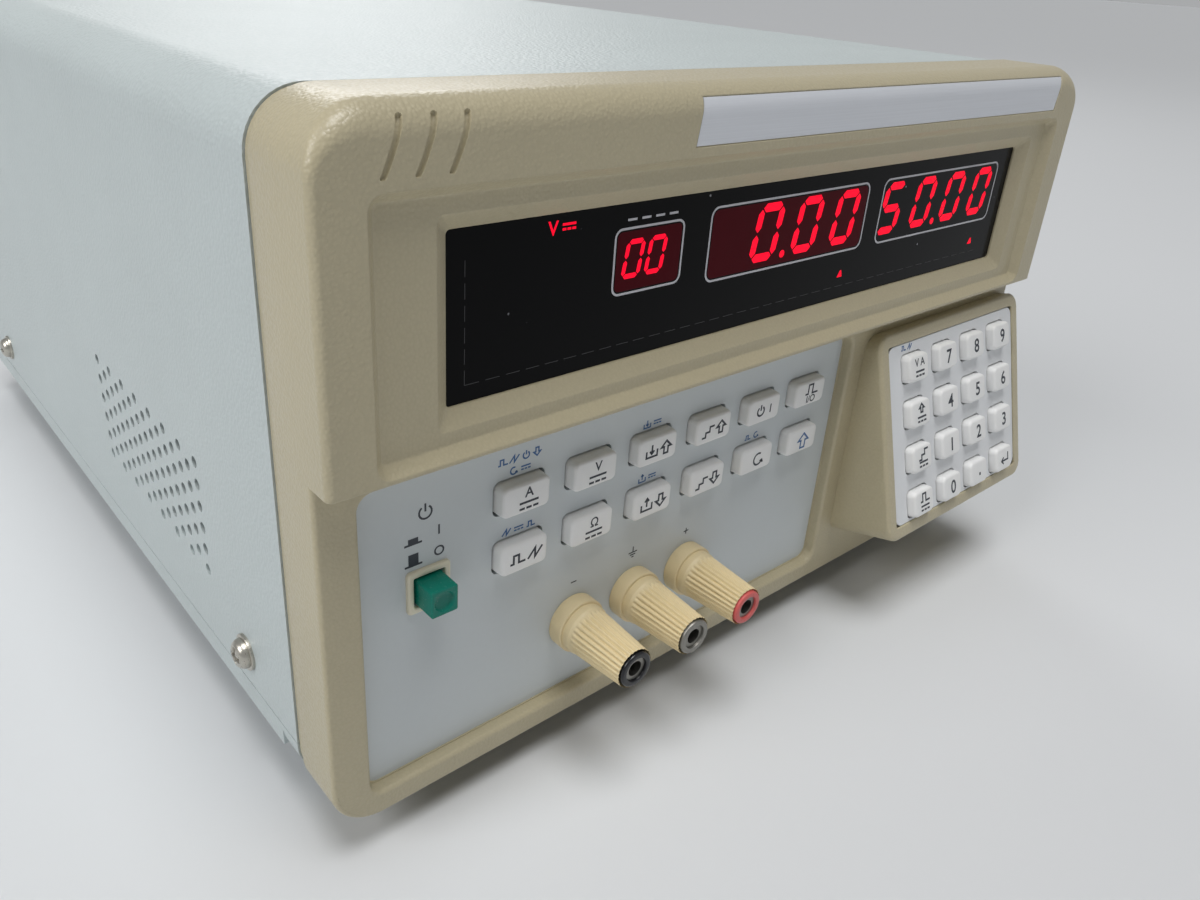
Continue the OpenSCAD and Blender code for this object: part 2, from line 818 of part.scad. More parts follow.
module pad_key(row, col) color(key_colour) {
    at_keypad(pad_x + col * pad_px, pad_y + (pads - 1 - row) * pad_py)
        key_cap(pad_w, pad_h, pad_rest, pad_out, pad_r, pad_round);
}
module tact_switch(tall) {
    translate([-tact_w / 2, -tact_w / 2, 0]) cube([tact_w, tact_w, tall - tact_tip]);
    cylinder(r = tact_r, h = tall);
}
module keypad_board() color(board_colour) {
    w = keypad_w - 2 * keypad_wall - 2 * board_in;
    h = keypad_h - 2 * keypad_wall - 2 * board_in;
    at_keypad(0, 0) {
        translate([0, 0, -pad_board - board_t]) linear_extrude(board_t) rounded_rect(w, h, board_in);
        translate([0, 0, -pad_board]) pad_grid() tact_switch(tact_h);
    }
}

// Front board and LED modules
module front_board() color(board_colour) {
    low = key_z - key_cut_h;
    top = recess_z + recess_h / 2;
    w = recess_w;
    key_left = panel_left + key_first - key_cut_w;
    step = brow_z + 2 * panel_margin;
    tall = board_v - key_rest - key_travel - run_gap;
    run(board_v, board_v + board_t) {
        translate([-w / 2, step]) square([w, top - step]);
        translate([key_left, low]) square([(key_cols - 1) * key_px + 2 * key_cut_w, step + cut - low]);
    }
    for (row = [0:1], col = [0:key_cols - 1])
        at_front(panel_left + key_first + col * key_px, board_v, key_z + row * key_pz) tact_switch(tall);
}
module digit_modules() color("#3a1216") {
    face = window_v - window_t - module_gap;
    for (m = modules) run(-face, board_v)
        translate([window_left + m[0], inner_z + digit_lift]) square([m[1], m[2]], center = true);
}

// Cabinet
module above(z) {
    translate([-body_w, z]) square([2 * body_w, 2 * bezel_h]);
}
module below(z) {
    translate([-body_w, z - 2 * bezel_h]) square([2 * body_w, 2 * bezel_h]);
}
module side_holes(r) {
    for (v = screw_v) translate([-body_w / 2 - cut, panel_y + v, screw_z])
        rotate([0, 90, 0]) cylinder(r = r, h = body_w + 2 * cut);
}
module vent_holes() {
    for (col = [0:vent_cols - 1], row = [0:vent_rows - 1 - col % 2]) {
        z = vent_z + (row + (col % 2) / 2) * vent_pitch;
        translate([-body_w / 2 - cut, panel_y + vent_first + col * vent_px, z])
            rotate([0, 90, 0]) cylinder(r = vent_r, h = body_w + 2 * cut, $fn = 24);
    }
}
module rear_hole(sx) {
    deep = rear_t + fit_gap + sheet_t;
    at_front(sx * tab_x, rear_v + cut, tab_z) cylinder(r = screw_r + hole_gap, h = deep + 2 * cut);
}
module top_cover() color(cover_colour) {
    difference() {
        run(bezel_d + seam_gap, bezel_d + cover_len) intersection() {
            case_ring(sheet_in, sheet_t);
            above(seam_z);
        }
        side_holes(screw_r + hole_gap);
        vent_holes();
    }
}
module flange_section(sx) {
    x = body_w / 2 - flange_in - sheet_t;
    foot = seam_z - seam_gap - joggle_h;
    inner = sheet_t + flange_in - sheet_in;
    mirror([sx < 0 ? 1 : 0, 0]) translate([x, foot]) {
        square([sheet_t, joggle_h + seam_gap + flange_up]);
        square([inner, joggle_h]);
    }
}
module chassis_base() color(cover_colour) {
    difference() {
        union() {
            run(bezel_d + seam_gap, bezel_d + cover_len) intersection() {
                case_ring(sheet_in, sheet_t);
                below(seam_z - seam_gap);
            }
            run(flange_v[0], flange_v[1]) for (sx = [-1, 1]) flange_section(sx);
        }
        side_holes(screw_r + hole_gap);
    }
    for (x = main_x + [main_edge, -main_edge], v = main_v + [main_edge, -main_edge])
        translate([x, panel_y + v, floor_z - sheet_t / 2])
            cylinder(r = main_boss_r, h = boss_h + sheet_t / 2);
    for (sx = [-1, 1]) difference() {
        run(rear_v - rear_t - fit_gap - sheet_t, rear_v - rear_t - fit_gap)
            translate([sx * tab_x - tab_w / 2, floor_z - sheet_t / 2]) square([tab_w, tab_h + sheet_t / 2]);
        rear_hole(sx);
    }
}
module foot_profile() {
    translate([foot_r, 0]) round_edge(foot_r, 0, base_z, foot_round);
}
module feet() color("#34363a") {
    for (sx = [-1, 1], v = foot_v)
        translate([sx * foot_x, panel_y + v, base_z]) rotate([180, 0, 0]) rotate_extrude() foot_profile();
}
module case_screw(washer) {
    if (washer) cylinder(r = case_washer_r, h = case_washer_t);
    seat = washer ? case_washer_t : 0;
    translate([0, 0, seat]) rotate_extrude() translate([head_r, 0])
        round_edge(head_r, 0, head_h, head_round);
    translate([0, 0, -screw_len]) cylinder(r = screw_r, h = screw_len + seat + head_h / 2);
}
module case_screws() color(metal_colour) {
    for (sx = [-1, 1], v = screw_v)
        translate([sx * (body_w / 2 - sheet_in), panel_y + v, screw_z])
            rotate([0, sx * 90, 0]) case_screw(true);
    for (sx = [-1, 1]) at_rear(sx * tab_x, rear_v, tab_z) case_screw(false);
}

// Rear panel with the grille, the inlet and the interface
module grille() {
    for (r = grille_rings) difference() {
        circle(r + grille_w / 2);
        circle(r - grille_w / 2);
        for (turn = [45, 135]) rotate(turn) square([grille_bar, 2 * fan_w], center = true);
    }
}
module link_outline(w, h) {
    polygon([[-w / 2, h / 2], [w / 2, h / 2], [w / 2 - link_slope, -h / 2], [-w / 2 + link_slope, -h / 2]]);
}
module inlet_outline(grow) {
    w = inlet_w / 2 + grow;
    h = inlet_h / 2 + grow;
    side = h - inlet_cut;
    polygon([[-w, -h], [w, -h], [w, side], [w - inlet_cut, h], [-w + inlet_cut, h], [-w, side]]);
}
module rear_panel() color(cover_colour) {
    difference() {
        run(rear_v - rear_t, rear_v) case_outline(inner_in);
        run(rear_v - rear_t - cut, rear_v + cut) {
            translate([fan_x, fan_z]) grille();
            translate([inlet_x, inlet_z]) inlet_outline(fit_gap);
            translate([link_x, link_z]) link_outline(link_w + 2 * fit_gap, link_h + 2 * fit_gap);
        }
        for (sx = [-1, 1]) rear_hole(sx);
    }
}
module mains_inlet() color("#1d1d20") {
    pins = [[-pin_gap, -pin_rise], [pin_gap, -pin_rise], [0, pin_rise]];
    difference() {
        union() {
            run(rear_v, rear_v + inlet_flange_t) translate([inlet_x, inlet_z])
                rounded_rect(inlet_flange_w, inlet_flange_h, inlet_r);
            run(rear_v - inlet_d, rear_v + inlet_flange_t) translate([inlet_x, inlet_z]) inlet_outline(0);
        }
        run(rear_v + inlet_flange_t - inlet_cavity, rear_v + inlet_flange_t + cut)
            translate([inlet_x, inlet_z]) inlet_outline(-inlet_wall);
    }
    for (p = pins) run(rear_v - inlet_cavity, rear_v - cut)
        translate([inlet_x + p[0], inlet_z + p[1]]) square([pin_w, pin_h], center = true);
}
module interface_socket() color(metal_colour) {
    hollow_w = link_w - 2 * link_wall;
    hollow_h = link_h - 2 * link_wall;
    translate([link_x, 0, link_z]) {
        difference() {
            union() {
                run(rear_v, rear_v + link_flange_t) rounded_rect(link_flange_w, link_flange_h, link_r);
                run(rear_v - link_d, rear_v + socket_out) link_outline(link_w, link_h);
            }
            run(rear_v - link_d / 2, rear_v + socket_out + cut) link_outline(hollow_w, hollow_h);
        }
        run(rear_v - link_d / 2 - cut, rear_v + socket_out - cut)
            square([hollow_w - 3 * link_slope, link_tongue_h], center = true);
    }
}

// Fan, heat sink, transformer and main board
module fan_frame() color("#222326") {
    translate([fan_x, 0, fan_z]) {
        run(fan_v, fan_v + fan_d) difference() {
            rounded_rect(fan_w, fan_w, fan_corner);
            circle(fan_r);
        }
        run(fan_v, fan_v + strut_t) difference() {
            union() {
                circle(hub_r);
                for (turn = [0, 120, 240]) rotate(turn)
                    translate([0, -strut_w / 2]) square([fan_r + cut, strut_w]);
            }
            circle(shaft_r + shaft_gap);
        }
        run(fan_v + strut_t, fan_v + strut_t + bearing_len) difference() {
            circle(bearing_r);
            circle(shaft_r + shaft_gap);
        }
    }
}
module fan_rotor() color("#303135") {
    front = fan_v + strut_t + rotor_gap;
    back = front + rotor_len;
    blade_len = fan_r - hub_r - blade_gap;
    blade_w = rotor_len * blade_share;
    translate([fan_x, 0, fan_z]) {
        run(front, back) difference() {
            circle(hub_r);
            circle(hub_r - hub_wall);
        }
        run(back - hub_wall, back) circle(hub_r - hub_wall / 2);
        run(fan_v + rotor_gap, back - hub_wall / 2) circle(shaft_r);
    }
    for (k = [0:blades - 1])
        at_front(fan_x, (front + back) / 2, fan_z) rotate(k * 360 / blades)
            translate([hub_r - hub_wall / 2, 0, 0]) rotate([blade_pitch, 0, 0])
                translate([0, -blade_t / 2, -blade_w / 2]) cube([blade_len, blade_t, blade_w]);
}
module heat_sink() color("#8d9094") {
    pitch = (sink_h - fin_t) / (fins - 1);
    run(sink_v - sink_len, sink_v) translate([sink_x, floor_z]) {
        square([sink_base, sink_h]);
        for (i = [0:fins - 1]) translate([0, i * pitch]) square([sink_base + fin_len, fin_t]);
    }
}
module mains_transformer() color("#7a7466") {
    translate([coil_x, panel_y + coil_v, floor_z]) {
        translate([-core_foot_w / 2, -core_d / 2, 0]) cube([core_foot_w, core_d, core_foot_t]);
        translate([-core_w / 2, -core_d / 2, 0]) cube([core_w, core_d, core_h]);
        translate([0, 0, core_h / 2 + core_foot_t])
            soft_block(winding_w, winding_d, -winding_h / 2, winding_h / 2, winding_r, winding_round);
    }
}
module main_board() color(board_colour) {
    top = main_z + board_t;
    translate([main_x[0], panel_y + main_v[0], main_z])
        cube([main_x[1] - main_x[0], main_v[1] - main_v[0], board_t]);
    for (c = capacitors) translate([c[0], panel_y + c[1], top - board_t / 2]) cylinder(r = c[2], h = c[3]);
    for (c = chips) translate([c[0], panel_y + c[1], top + c[4] / 2 - board_t / 4])
        cube([c[2], c[3], c[4] + board_t / 2], center = true);
    for (i = [0:transistors - 1]) {
        v = sink_v - sink_len + transistor_first + i * transistor_pitch;
        translate([sink_x - transistor_t, panel_y + v - leg_w / 2, top + transistor_lift])
            cube([transistor_t, leg_w, transistor_h]);
        translate([sink_x - transistor_t / 2 - leg_t, panel_y + v - leg_w / 4, top - board_t / 2])
            cube([leg_t, leg_w / 2, transistor_lift + board_t]);
    }
}

front_bezel();
display_window();
control_panel();
keypad_housing();
keypad_plate();
front_board();
digit_modules();
keypad_board();
switch_frame();
switch_body();
post_collars();
post_studs();
post_nuts();
top_cover();
chassis_base();
rear_panel();
feet();
case_screws();
heat_sink();
fan_frame();
mains_transformer();
main_board();
mains_inlet();
interface_socket();
fan_rotor();
power_button();
for (i = [0:posts - 1]) post_cap(i);
for (i = [0:posts - 1]) clamp_washer(i);
for (i = [0:len(fn_names) - 1])
    fn_key(floor(i / key_cols), i % key_cols);
for (i = [0:len(pad_names) - 1])
    pad_key(floor(i / pads), i % pads);
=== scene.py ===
"""Bench DC electronic load: soft moulded front, keys, fluted posts, printing and painted cabinet.

Lengths in the shape functions are millimetres. A point of the front is written (across, up, out), where
out is measured from the grey control panel's face towards the viewer.
"""

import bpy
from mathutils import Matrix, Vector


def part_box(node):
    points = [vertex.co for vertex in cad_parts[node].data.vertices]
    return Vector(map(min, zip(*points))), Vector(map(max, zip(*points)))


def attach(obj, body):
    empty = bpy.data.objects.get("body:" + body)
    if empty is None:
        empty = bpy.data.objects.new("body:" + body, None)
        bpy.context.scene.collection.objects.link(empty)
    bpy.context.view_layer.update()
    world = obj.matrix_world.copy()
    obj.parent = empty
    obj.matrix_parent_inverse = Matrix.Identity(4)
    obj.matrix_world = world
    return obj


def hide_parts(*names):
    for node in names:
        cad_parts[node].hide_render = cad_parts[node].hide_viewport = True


bl_info = {
    "name": "Bench DC electronic load",
    "version": (1, 0, 0),
    "blender": (4, 5, 0),
    "location": "View3D > Sidebar > Load",
    "description": "Dresses the bench load: moulded front, keys, posts, printing and finishes",
    "category": "Object",
}

import bmesh
import bpy
import numpy as np
from mathutils import Matrix

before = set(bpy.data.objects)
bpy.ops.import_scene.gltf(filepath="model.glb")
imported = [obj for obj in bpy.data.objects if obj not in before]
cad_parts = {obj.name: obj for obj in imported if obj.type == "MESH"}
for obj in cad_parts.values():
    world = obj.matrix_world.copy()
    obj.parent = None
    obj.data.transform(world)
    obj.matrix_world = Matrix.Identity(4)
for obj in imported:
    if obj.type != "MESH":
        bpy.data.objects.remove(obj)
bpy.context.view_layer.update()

MM = 0.001


def box_mm(node):
    """A CAD node's lowest and highest corner in millimetres."""
    low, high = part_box(node)
    return np.array(low) / MM, np.array(high) / MM


def middle_of(node):
    """The middle of a CAD node seen from the front or the rear, as (across, up)."""
    low, high = box_mm(node)
    return (low[0] + high[0]) / 2, (low[2] + high[2]) / 2


def linear(code):
    """An sRGB hex colour as linear red, green, blue and alpha."""
    part = np.array([int(code[i:i + 2], 16) for i in (1, 3, 5)]) / 255
    value = np.where(part <= 0.04045, part / 12.92, ((part + 0.055) / 1.055) ** 2.4)
    return (*(float(v) for v in value), 1.0)


# The front's own measures, read from the frame
BEZEL_LOW, BEZEL_HIGH = box_mm("front_bezel")
PANEL_LOW, PANEL_HIGH = box_mm("control_panel")
WINDOW_LOW, WINDOW_HIGH = box_mm("display_window")
PAD_LOW, PAD_HIGH = box_mm("keypad_housing")
LABEL_SEAT, WINDOW_SEAT, PANEL_SEAT = 0.4, 3.0, 3.0
FACE_Y = PANEL_LOW[1]
LEFT, RIGHT = BEZEL_LOW[0], BEZEL_HIGH[0]
LOW_Z, TOP_Z = BEZEL_LOW[2], BEZEL_HIGH[2]
BROW_Z = PANEL_HIGH[2] - PANEL_SEAT
BROW_OUT = FACE_Y - BEZEL_LOW[1]
FRAME_OUT = 3.5
CORNER = 12.0
SEAM_OUT = -14.0
TONGUE_OUT = -20.0
TONGUE_IN = 1.8
BAND_OUT, BAND_IN = -10.8, 0.8

# Display recess, its ledge and the window, as left, right, low, high and corner radius
RECESS = (LEFT + 9.75, RIGHT - 9.75, BROW_Z + 1.0, BROW_Z + 52.8, 3.3)
LEDGE_OUT = 7.5
INNER = (WINDOW_LOW[0] - 0.5, WINDOW_HIGH[0] + 0.5, WINDOW_LOW[2] - 0.5, WINDOW_HIGH[2] + 0.5, 1.8)
INNER_IN = WINDOW_SEAT + 0.5
WINDOW_OUT = FACE_Y - WINDOW_LOW[1]
PANE = (WINDOW_LOW[0] + WINDOW_SEAT, WINDOW_HIGH[0] - WINDOW_SEAT)
OPENING = (LEFT + 9, LEFT + 165.85, LOW_Z + 6.2, BROW_Z - 4.7, 3.5)

# Slanted marks of the brow: grooves and the sunk field of the label strip
GROOVE_SLOPE, LABEL_SLOPE = 0.5, 0.15
GROOVE_BEND, GROOVE_HALF = -0.0125, 0.56
MARK_LOW = BROW_Z + 54.7
MARK_HIGH = MARK_LOW + 9.95
GROOVES = LEFT + 12.6 + 6.4 * np.arange(3)
LABEL = (LEFT + 83.5, 112.6)
BAND_LOW = BROW_Z + 53.8

# Keypad: middle of its face and its backward lean
LEAN = np.radians(16)
PAD_SIZE = (81.5, 64.2)
PAD_X = (PAD_LOW[0] + PAD_HIGH[0]) / 2
PAD_Y = FACE_Y - FRAME_OUT - 4 - PAD_SIZE[1] / 2 * np.sin(LEAN)
PAD_Z = LOW_Z + 20.3 + PAD_SIZE[1] / 2 * np.cos(LEAN)
PAD_FIRST = (16.2 - PAD_SIZE[0] / 2, 9.6 - PAD_SIZE[1] / 2)
PAD_STEP = (16.6, 14.15)

POSTS = ("minus", "ground", "plus")

# Direction that the front looks, points round the brow's edges, and the built-in letters' weight and cap height
FRONT = (0, -1, 0)
BEND_STEPS = 76
BOLD, CAP_HEIGHT = 0.016, 0.73


def length(label, text, default):
    """A length that a user may set, in metres."""
    return bpy.props.FloatProperty(name=label, description=text, default=default, unit="LENGTH")


def hue(label, text, code):
    """A colour that a user may set."""
    return bpy.props.FloatVectorProperty(
        name=label, description=text, size=4, subtype="COLOR", default=linear(code))


class LoadSizes(bpy.types.PropertyGroup):
    """Sizes that a user would change."""

    brow_round: length("Brow rounding", "Rounding of the brow's upper edge", 0.006)
    side_round: length("Side rounding", "Rounding of the brow's front edges at the sides", 0.0016)
    frame_round: length("Frame rounding", "Rounding of the lower frame's front edge", 0.001)
    lip_round: length("Lip rounding", "Rounding of the brow's lower edge", 0.00055)
    opening_round: length("Opening rounding", "Rounding round the control panel", 0.0011)
    groove_depth: length("Groove depth", "Depth of the slanted grooves", 0.0008)
    key_round: length("Key rounding", "Rounding of the keys' upper edges", 0.0009)
    flute_count: bpy.props.IntProperty(
        name="Flutes", description="Flutes round a binding post's cap", default=28, min=12, max=40)
    flute_depth: length("Flute depth", "Depth of a flute", 0.0006)


class LoadColours(bpy.types.PropertyGroup):
    """Colours that a user would change."""

    moulding: hue("Moulding", "Moulded front", "#BBB194")
    cabinet: hue("Cabinet", "Painted steel cover", "#C0C9C9")
    panel: hue("Panel", "Control panel", "#CBD1D3")
    keys: hue("Keys", "Key caps", "#F1F1F0")
    posts: hue("Posts", "Binding post caps and collars", "#E2D0A6")
    button: hue("Power button", "Power button", "#057968")
    digits: hue("Digits", "Lit LED segments", "#F50A2C")


# Places: a point of the front, a point of the keypad's face


def on_front(p):
    """(across, up, out) of the front to the shared frame."""
    return np.stack([p[..., 0], FACE_Y - p[..., 2], p[..., 1]], -1)


def on_keypad(p):
    """(across, up, out) of the leaning keypad face to the shared frame: a turn about X, then a shift."""
    c, s = np.cos(LEAN), np.sin(LEAN)
    return np.stack([
        PAD_X + p[..., 0], PAD_Y + s * p[..., 1] - c * p[..., 2], PAD_Z + c * p[..., 1] + s * p[..., 2]], -1)


def shifted(place, middle):
    """A place whose (across, up, out) are counted from a middle."""
    return lambda p: place(p + middle)


# Flat curves


def filleted(points, radii, steps=6):
    """A polyline whose inner corners are arcs: each arc is tangent to both of its sides."""
    points = np.asarray(points, float)
    run = [points[:1]]
    for a, b, c, r in zip(points[:-2], points[1:-1], points[2:], radii):
        u = (a - b) / np.linalg.norm(a - b)
        w = (c - b) / np.linalg.norm(c - b)
        half = np.arccos(np.clip(u @ w, -1, 1)) / 2
        middle = b + (u + w) / np.linalg.norm(u + w) * r / np.sin(half)
        start = b + u * r / np.tan(half) - middle
        end = b + w * r / np.tan(half) - middle
        first = np.arctan2(start[1], start[0])
        turn = np.arctan2(end[1], end[0]) - first
        turn = (turn + np.pi) % (2 * np.pi) - np.pi
        angle = first + turn * np.linspace(0, 1, steps)
        run.append(middle + r * np.stack([np.cos(angle), np.sin(angle)], -1))
    run.append(points[-1:])
    return np.concatenate(run)


def rounded_loop(rect, grow=0.0, corner=8, side=1, least=0.0):
    """A rectangle (left, right, low, high, radius or four radii) moved outwards by grow, as a closed loop:
    quarter circles of a least radius at its corners and even steps along its sides."""
    x0, x1, z0, z1, r = rect
    r = np.maximum(np.broadcast_to(np.asarray(r, float), 4) + grow, least)
    x0, x1, z0, z1 = x0 - grow, x1 + grow, z0 - grow, z1 + grow
    middles = np.array([
        [x1 - r[1], z0 + r[1]], [x1 - r[2], z1 - r[2]], [x0 + r[3], z1 - r[3]], [x0 + r[0], z0 + r[0]]])
    angle = np.radians(-90 + 90 * np.arange(4))[:, None] + np.linspace(0, np.pi / 2, corner + 1)
    arcs = middles[:, None] + r[[1, 2, 3, 0], None, None] * np.stack([np.cos(angle), np.sin(angle)], -1)
    share = np.linspace(0, 1, side + 1)[1:-1, None]
    sides = arcs[:, None, -1] * (1 - share) + np.roll(arcs, -1, 0)[:, None, 0] * share
    return np.concatenate([arcs, sides], 1).reshape(-1, 2)


def carried(rect, profile, corner=8, side=1, least=0.0):
    """An edge profile (grow, out) carried round a rounded rectangle, as rows of (across, up, out)."""
    count = 4 * (corner + side)
    return np.array([
        np.column_stack([rounded_loop(rect, g, corner, side, least), np.full(count, o)]) for g, o in profile])


def between(inner, outer, out, corner=8, side=1):
    """The flat ring between two rounded rectangles, each with its own grow."""
    loops = [rounded_loop(r, g, corner, side) for r, g in (inner, outer)]
    return np.array([np.column_stack([p, np.full(len(p), out)]) for p in loops])


def smooth_step(x):
    """0 below 0, 1 above 1 and a cubic in between."""
    x = np.clip(x, 0, 1)
    return x * x * (3 - 2 * x)


# Meshes


def patch(rows, toward, close=False):
    """A grid of points as vertices and quads, turned so that its faces look towards a direction, or away
    from a point where toward is ("from", point). close joins the last column to the first."""
    rows = np.asarray(rows, float)
    m, n = rows.shape[:2]
    index = np.arange(m * n).reshape(m, n)
    if close:
        index = np.concatenate([index, index[:, :1]], 1)
    quads = np.stack([index[:-1, :-1], index[:-1, 1:], index[1:, 1:], index[1:, :-1]], -1).reshape(-1, 4)
    points = rows.reshape(-1, 3)
    a, b, c, d = (points[quads[:, i]] for i in range(4))
    normal = np.cross(c - a, d - b)
    if isinstance(toward, tuple) and toward[0] == "from":
        look = (a + c) / 2 - np.asarray(toward[1], float)
    else:
        look = np.asarray(toward, float)
    if (normal * look).sum() < 0:
        quads = quads[:, ::-1]
    return points, quads


def polygon(points, toward):
    """One flat face from a loop of points, turned towards a direction."""
    points = np.asarray(points, float)
    step = np.roll(points, -1, 0)
    if (np.cross(points - points.mean(0), step - points.mean(0)) @ np.asarray(toward, float)).sum() < 0:
        points = points[::-1]
    return points, [list(range(len(points)))]


def make(name, patches, material, body, stands_for=(), crease=38, merge=0.002):
    """Patches in millimetres as one mesh object of the part that rides on a body. Equal points are joined,
    and edges sharper than crease degrees stay sharp."""
    start = 0
    points, faces = [], []
    for p, f in patches:
        points.append(p)
        whole = isinstance(f, np.ndarray)
        faces.extend((f + start).tolist() if whole else [[i + start for i in g] for g in f])
        start += len(p)
    mesh = bpy.data.meshes.new(name)
    mesh.from_pydata((np.concatenate(points) * MM).tolist(), [], faces)
    work = bmesh.new()
    work.from_mesh(mesh)
    bmesh.ops.remove_doubles(work, verts=work.verts, dist=merge * MM)
    bmesh.ops.dissolve_degenerate(work, edges=work.edges, dist=merge * MM / 2)
    work.to_mesh(mesh)
    work.free()
    mesh.shade_smooth()
    mesh.set_sharp_from_angle(angle=np.radians(crease))
    mesh.materials.append(material)
    made = bpy.data.objects.new(name, mesh)
    bpy.context.scene.collection.objects.link(made)
    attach(made, body)
    if stands_for:
        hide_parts(*stands_for)
    return made


def flat_face(loop, out):
    """One face of the front from a loop of (across, up), at one height."""
    return polygon(on_front(np.column_stack([loop, np.full(len(loop), out)])), FRONT)


def letters(text, height, middle, place, out):
    """Plain built-in lettering as faces: thickened, scaled to a cap height, centred and laid on a surface."""
    curve = bpy.data.curves.new("lettering", "FONT")
    curve.body = text
    curve.size = 1
    curve.offset = BOLD
    temporary = bpy.data.objects.new("lettering", curve)
    bpy.context.scene.collection.objects.link(temporary)
    bpy.context.view_layer.update()
    mesh = temporary.to_mesh()
    flat = np.empty(len(mesh.vertices) * 3)
    mesh.vertices.foreach_get("co", flat)
    flat = flat.reshape(-1, 3)[:, :2]
    faces = [list(f.vertices) for f in mesh.polygons]
    temporary.to_mesh_clear()
    bpy.data.objects.remove(temporary)
    bpy.data.curves.remove(curve)
    low, high = flat.min(0), flat.max(0)
    flat = (flat - (low + high) / 2) * height / CAP_HEIGHT + np.asarray(middle, float)
    return place(np.column_stack([flat, np.full(len(flat), out)])), faces


def strokes(lines, width, place, out):
    """Printed lines of an even width: each polyline becomes quads, mitred at its corners."""
    parts = []
    for line in lines:
        line = np.asarray(line, float)
        closed = np.allclose(line[0], line[-1])
        step = np.diff(line, axis=0)
        step /= np.linalg.norm(step, axis=1)[:, None]
        before = np.concatenate([step[-1:] if closed else step[:1], step])
        after = np.concatenate([step, step[:1] if closed else step[-1:]])
        way = before + after
        way /= np.linalg.norm(way, axis=1)[:, None]
        across = np.stack([-way[:, 1], way[:, 0]], -1) / np.maximum((way * after).sum(1), 0.35)[:, None]
        sides = np.stack([line - across * width / 2, line + across * width / 2])
        level = np.full(sides.shape[:2] + (1,), out)
        parts.append(patch(place(np.concatenate([sides, level], -1)), FRONT))
    return parts


# Materials


def add(tree, kind, links=None, **settings):
    """A node with its settings, and its inputs as values or as links from other sockets."""
    made = tree.nodes.new(kind)
    for key, value in settings.items():
        setattr(made, key, value)
    for key, value in (links or {}).items():
        if isinstance(value, bpy.types.NodeSocket):
            tree.links.new(value, made.inputs[key])
        else:
            made.inputs[key].default_value = value
    return made


def start_material(name):
    """An empty material, its tree, its shader and its Object coordinates."""
    made = bpy.data.materials.new(name)
    made.use_nodes = True
    tree = made.node_tree
    tree.nodes.clear()
    shader = add(tree, "ShaderNodeBsdfPrincipled")
    add(tree, "ShaderNodeOutputMaterial", {"Surface": shader.outputs["BSDF"]})
    where = add(tree, "ShaderNodeTexCoord").outputs["Object"]
    return made, tree, shader, where


def per_mm(size):
    """Texture scale at which a pattern repeats about every size millimetres, in an object measured in metres."""
    return 1 / (size * MM)


def tinted(tree, shader, colour, factor, darker, lighter):
    """Base colour that runs between a darker and a lighter shade of itself."""
    low = tuple(c * darker for c in colour[:3]) + (1,)
    high = tuple(min(c * lighter, 1) for c in colour[:3]) + (1,)
    mix = add(tree, "ShaderNodeMix", {"Factor": factor}, data_type="RGBA")
    mix.inputs[6].default_value = low
    mix.inputs[7].default_value = high
    tree.links.new(mix.outputs[2], shader.inputs["Base Color"])


def mottled(name, colour, rough, grain, height, blotch, shade, spread, pebbled=False, **sockets):
    """A moulded or painted surface: slow blotches tint it, a fine grain gives bump and uneven gloss and also
    tints it as painted shade, lighter on raised grains and darker between them. The grain is noise, or where
    pebbled a dense field of rounded cells that fall off from their middles."""
    made, tree, shader, where = start_material(name)
    slow = add(tree, "ShaderNodeTexNoise", {
        "Vector": where, "Scale": per_mm(blotch), "Detail": 3.0, "Roughness": 0.55})
    if pebbled:
        cells = add(tree, "ShaderNodeTexVoronoi", {"Vector": where, "Scale": per_mm(grain)})
        fine = add(tree, "ShaderNodeMapRange", {
            "Value": cells.outputs["Distance"], "From Max": 0.8, "To Min": 0.8, "To Max": 0.2}).outputs["Result"]
    else:
        fine = add(tree, "ShaderNodeTexNoise", {
            "Vector": where, "Scale": per_mm(grain), "Detail": 2.0, "Roughness": 0.6}).outputs["Fac"]
    # The tint follows the slow blotches, a tone that differs at random, and a little more than half the fine grain
    # that also drives the bump, so raised grains come out lighter and the hollows between them darker: painted
    # shade of the bumps
    both = add(tree, "ShaderNodeMix", {"Factor": 0.55, "A": slow.outputs["Fac"], "B": fine})
    tinted(tree, shader, colour, both.outputs["Result"], *shade)
    gloss = add(tree, "ShaderNodeMapRange", {
        "Value": fine, "From Min": 0.3, "From Max": 0.7, "To Min": rough - spread, "To Max": rough + spread})
    tree.links.new(gloss.outputs["Result"], shader.inputs["Roughness"])
    bump = add(tree, "ShaderNodeBump", {"Height": fine, "Strength": 1.0, "Distance": height * MM})
    tree.links.new(bump.outputs["Normal"], shader.inputs["Normal"])
    for key, value in sockets.items():
        shader.inputs[key.replace("_", " ")].default_value = value
    return made


def plated(name, colour, rough, streak, along, height=0.004):
    """A metal with fine streaks along one axis, from drawing, turning or rolling."""
    made, tree, shader, where = start_material(name)
    stretch = [per_mm(streak)] * 3
    stretch[along] = per_mm(streak * 40)
    turned = add(tree, "ShaderNodeMapping", {"Vector": where, "Scale": stretch})
    line = add(tree, "ShaderNodeTexNoise", {"Vector": turned.outputs["Vector"], "Scale": 1.0, "Detail": 3.0})
    tinted(tree, shader, colour, line.outputs["Fac"], 0.88, 1.06)
    gloss = add(tree, "ShaderNodeMapRange", {
        "Value": line.outputs["Fac"], "To Min": rough - 0.08, "To Max": rough + 0.08})
    tree.links.new(gloss.outputs["Result"], shader.inputs["Roughness"])
    bump = add(tree, "ShaderNodeBump", {"Height": line.outputs["Fac"], "Strength": 0.5, "Distance": height * MM})
    tree.links.new(bump.outputs["Normal"], shader.inputs["Normal"])
    shader.inputs["Metallic"].default_value = 1
    return made


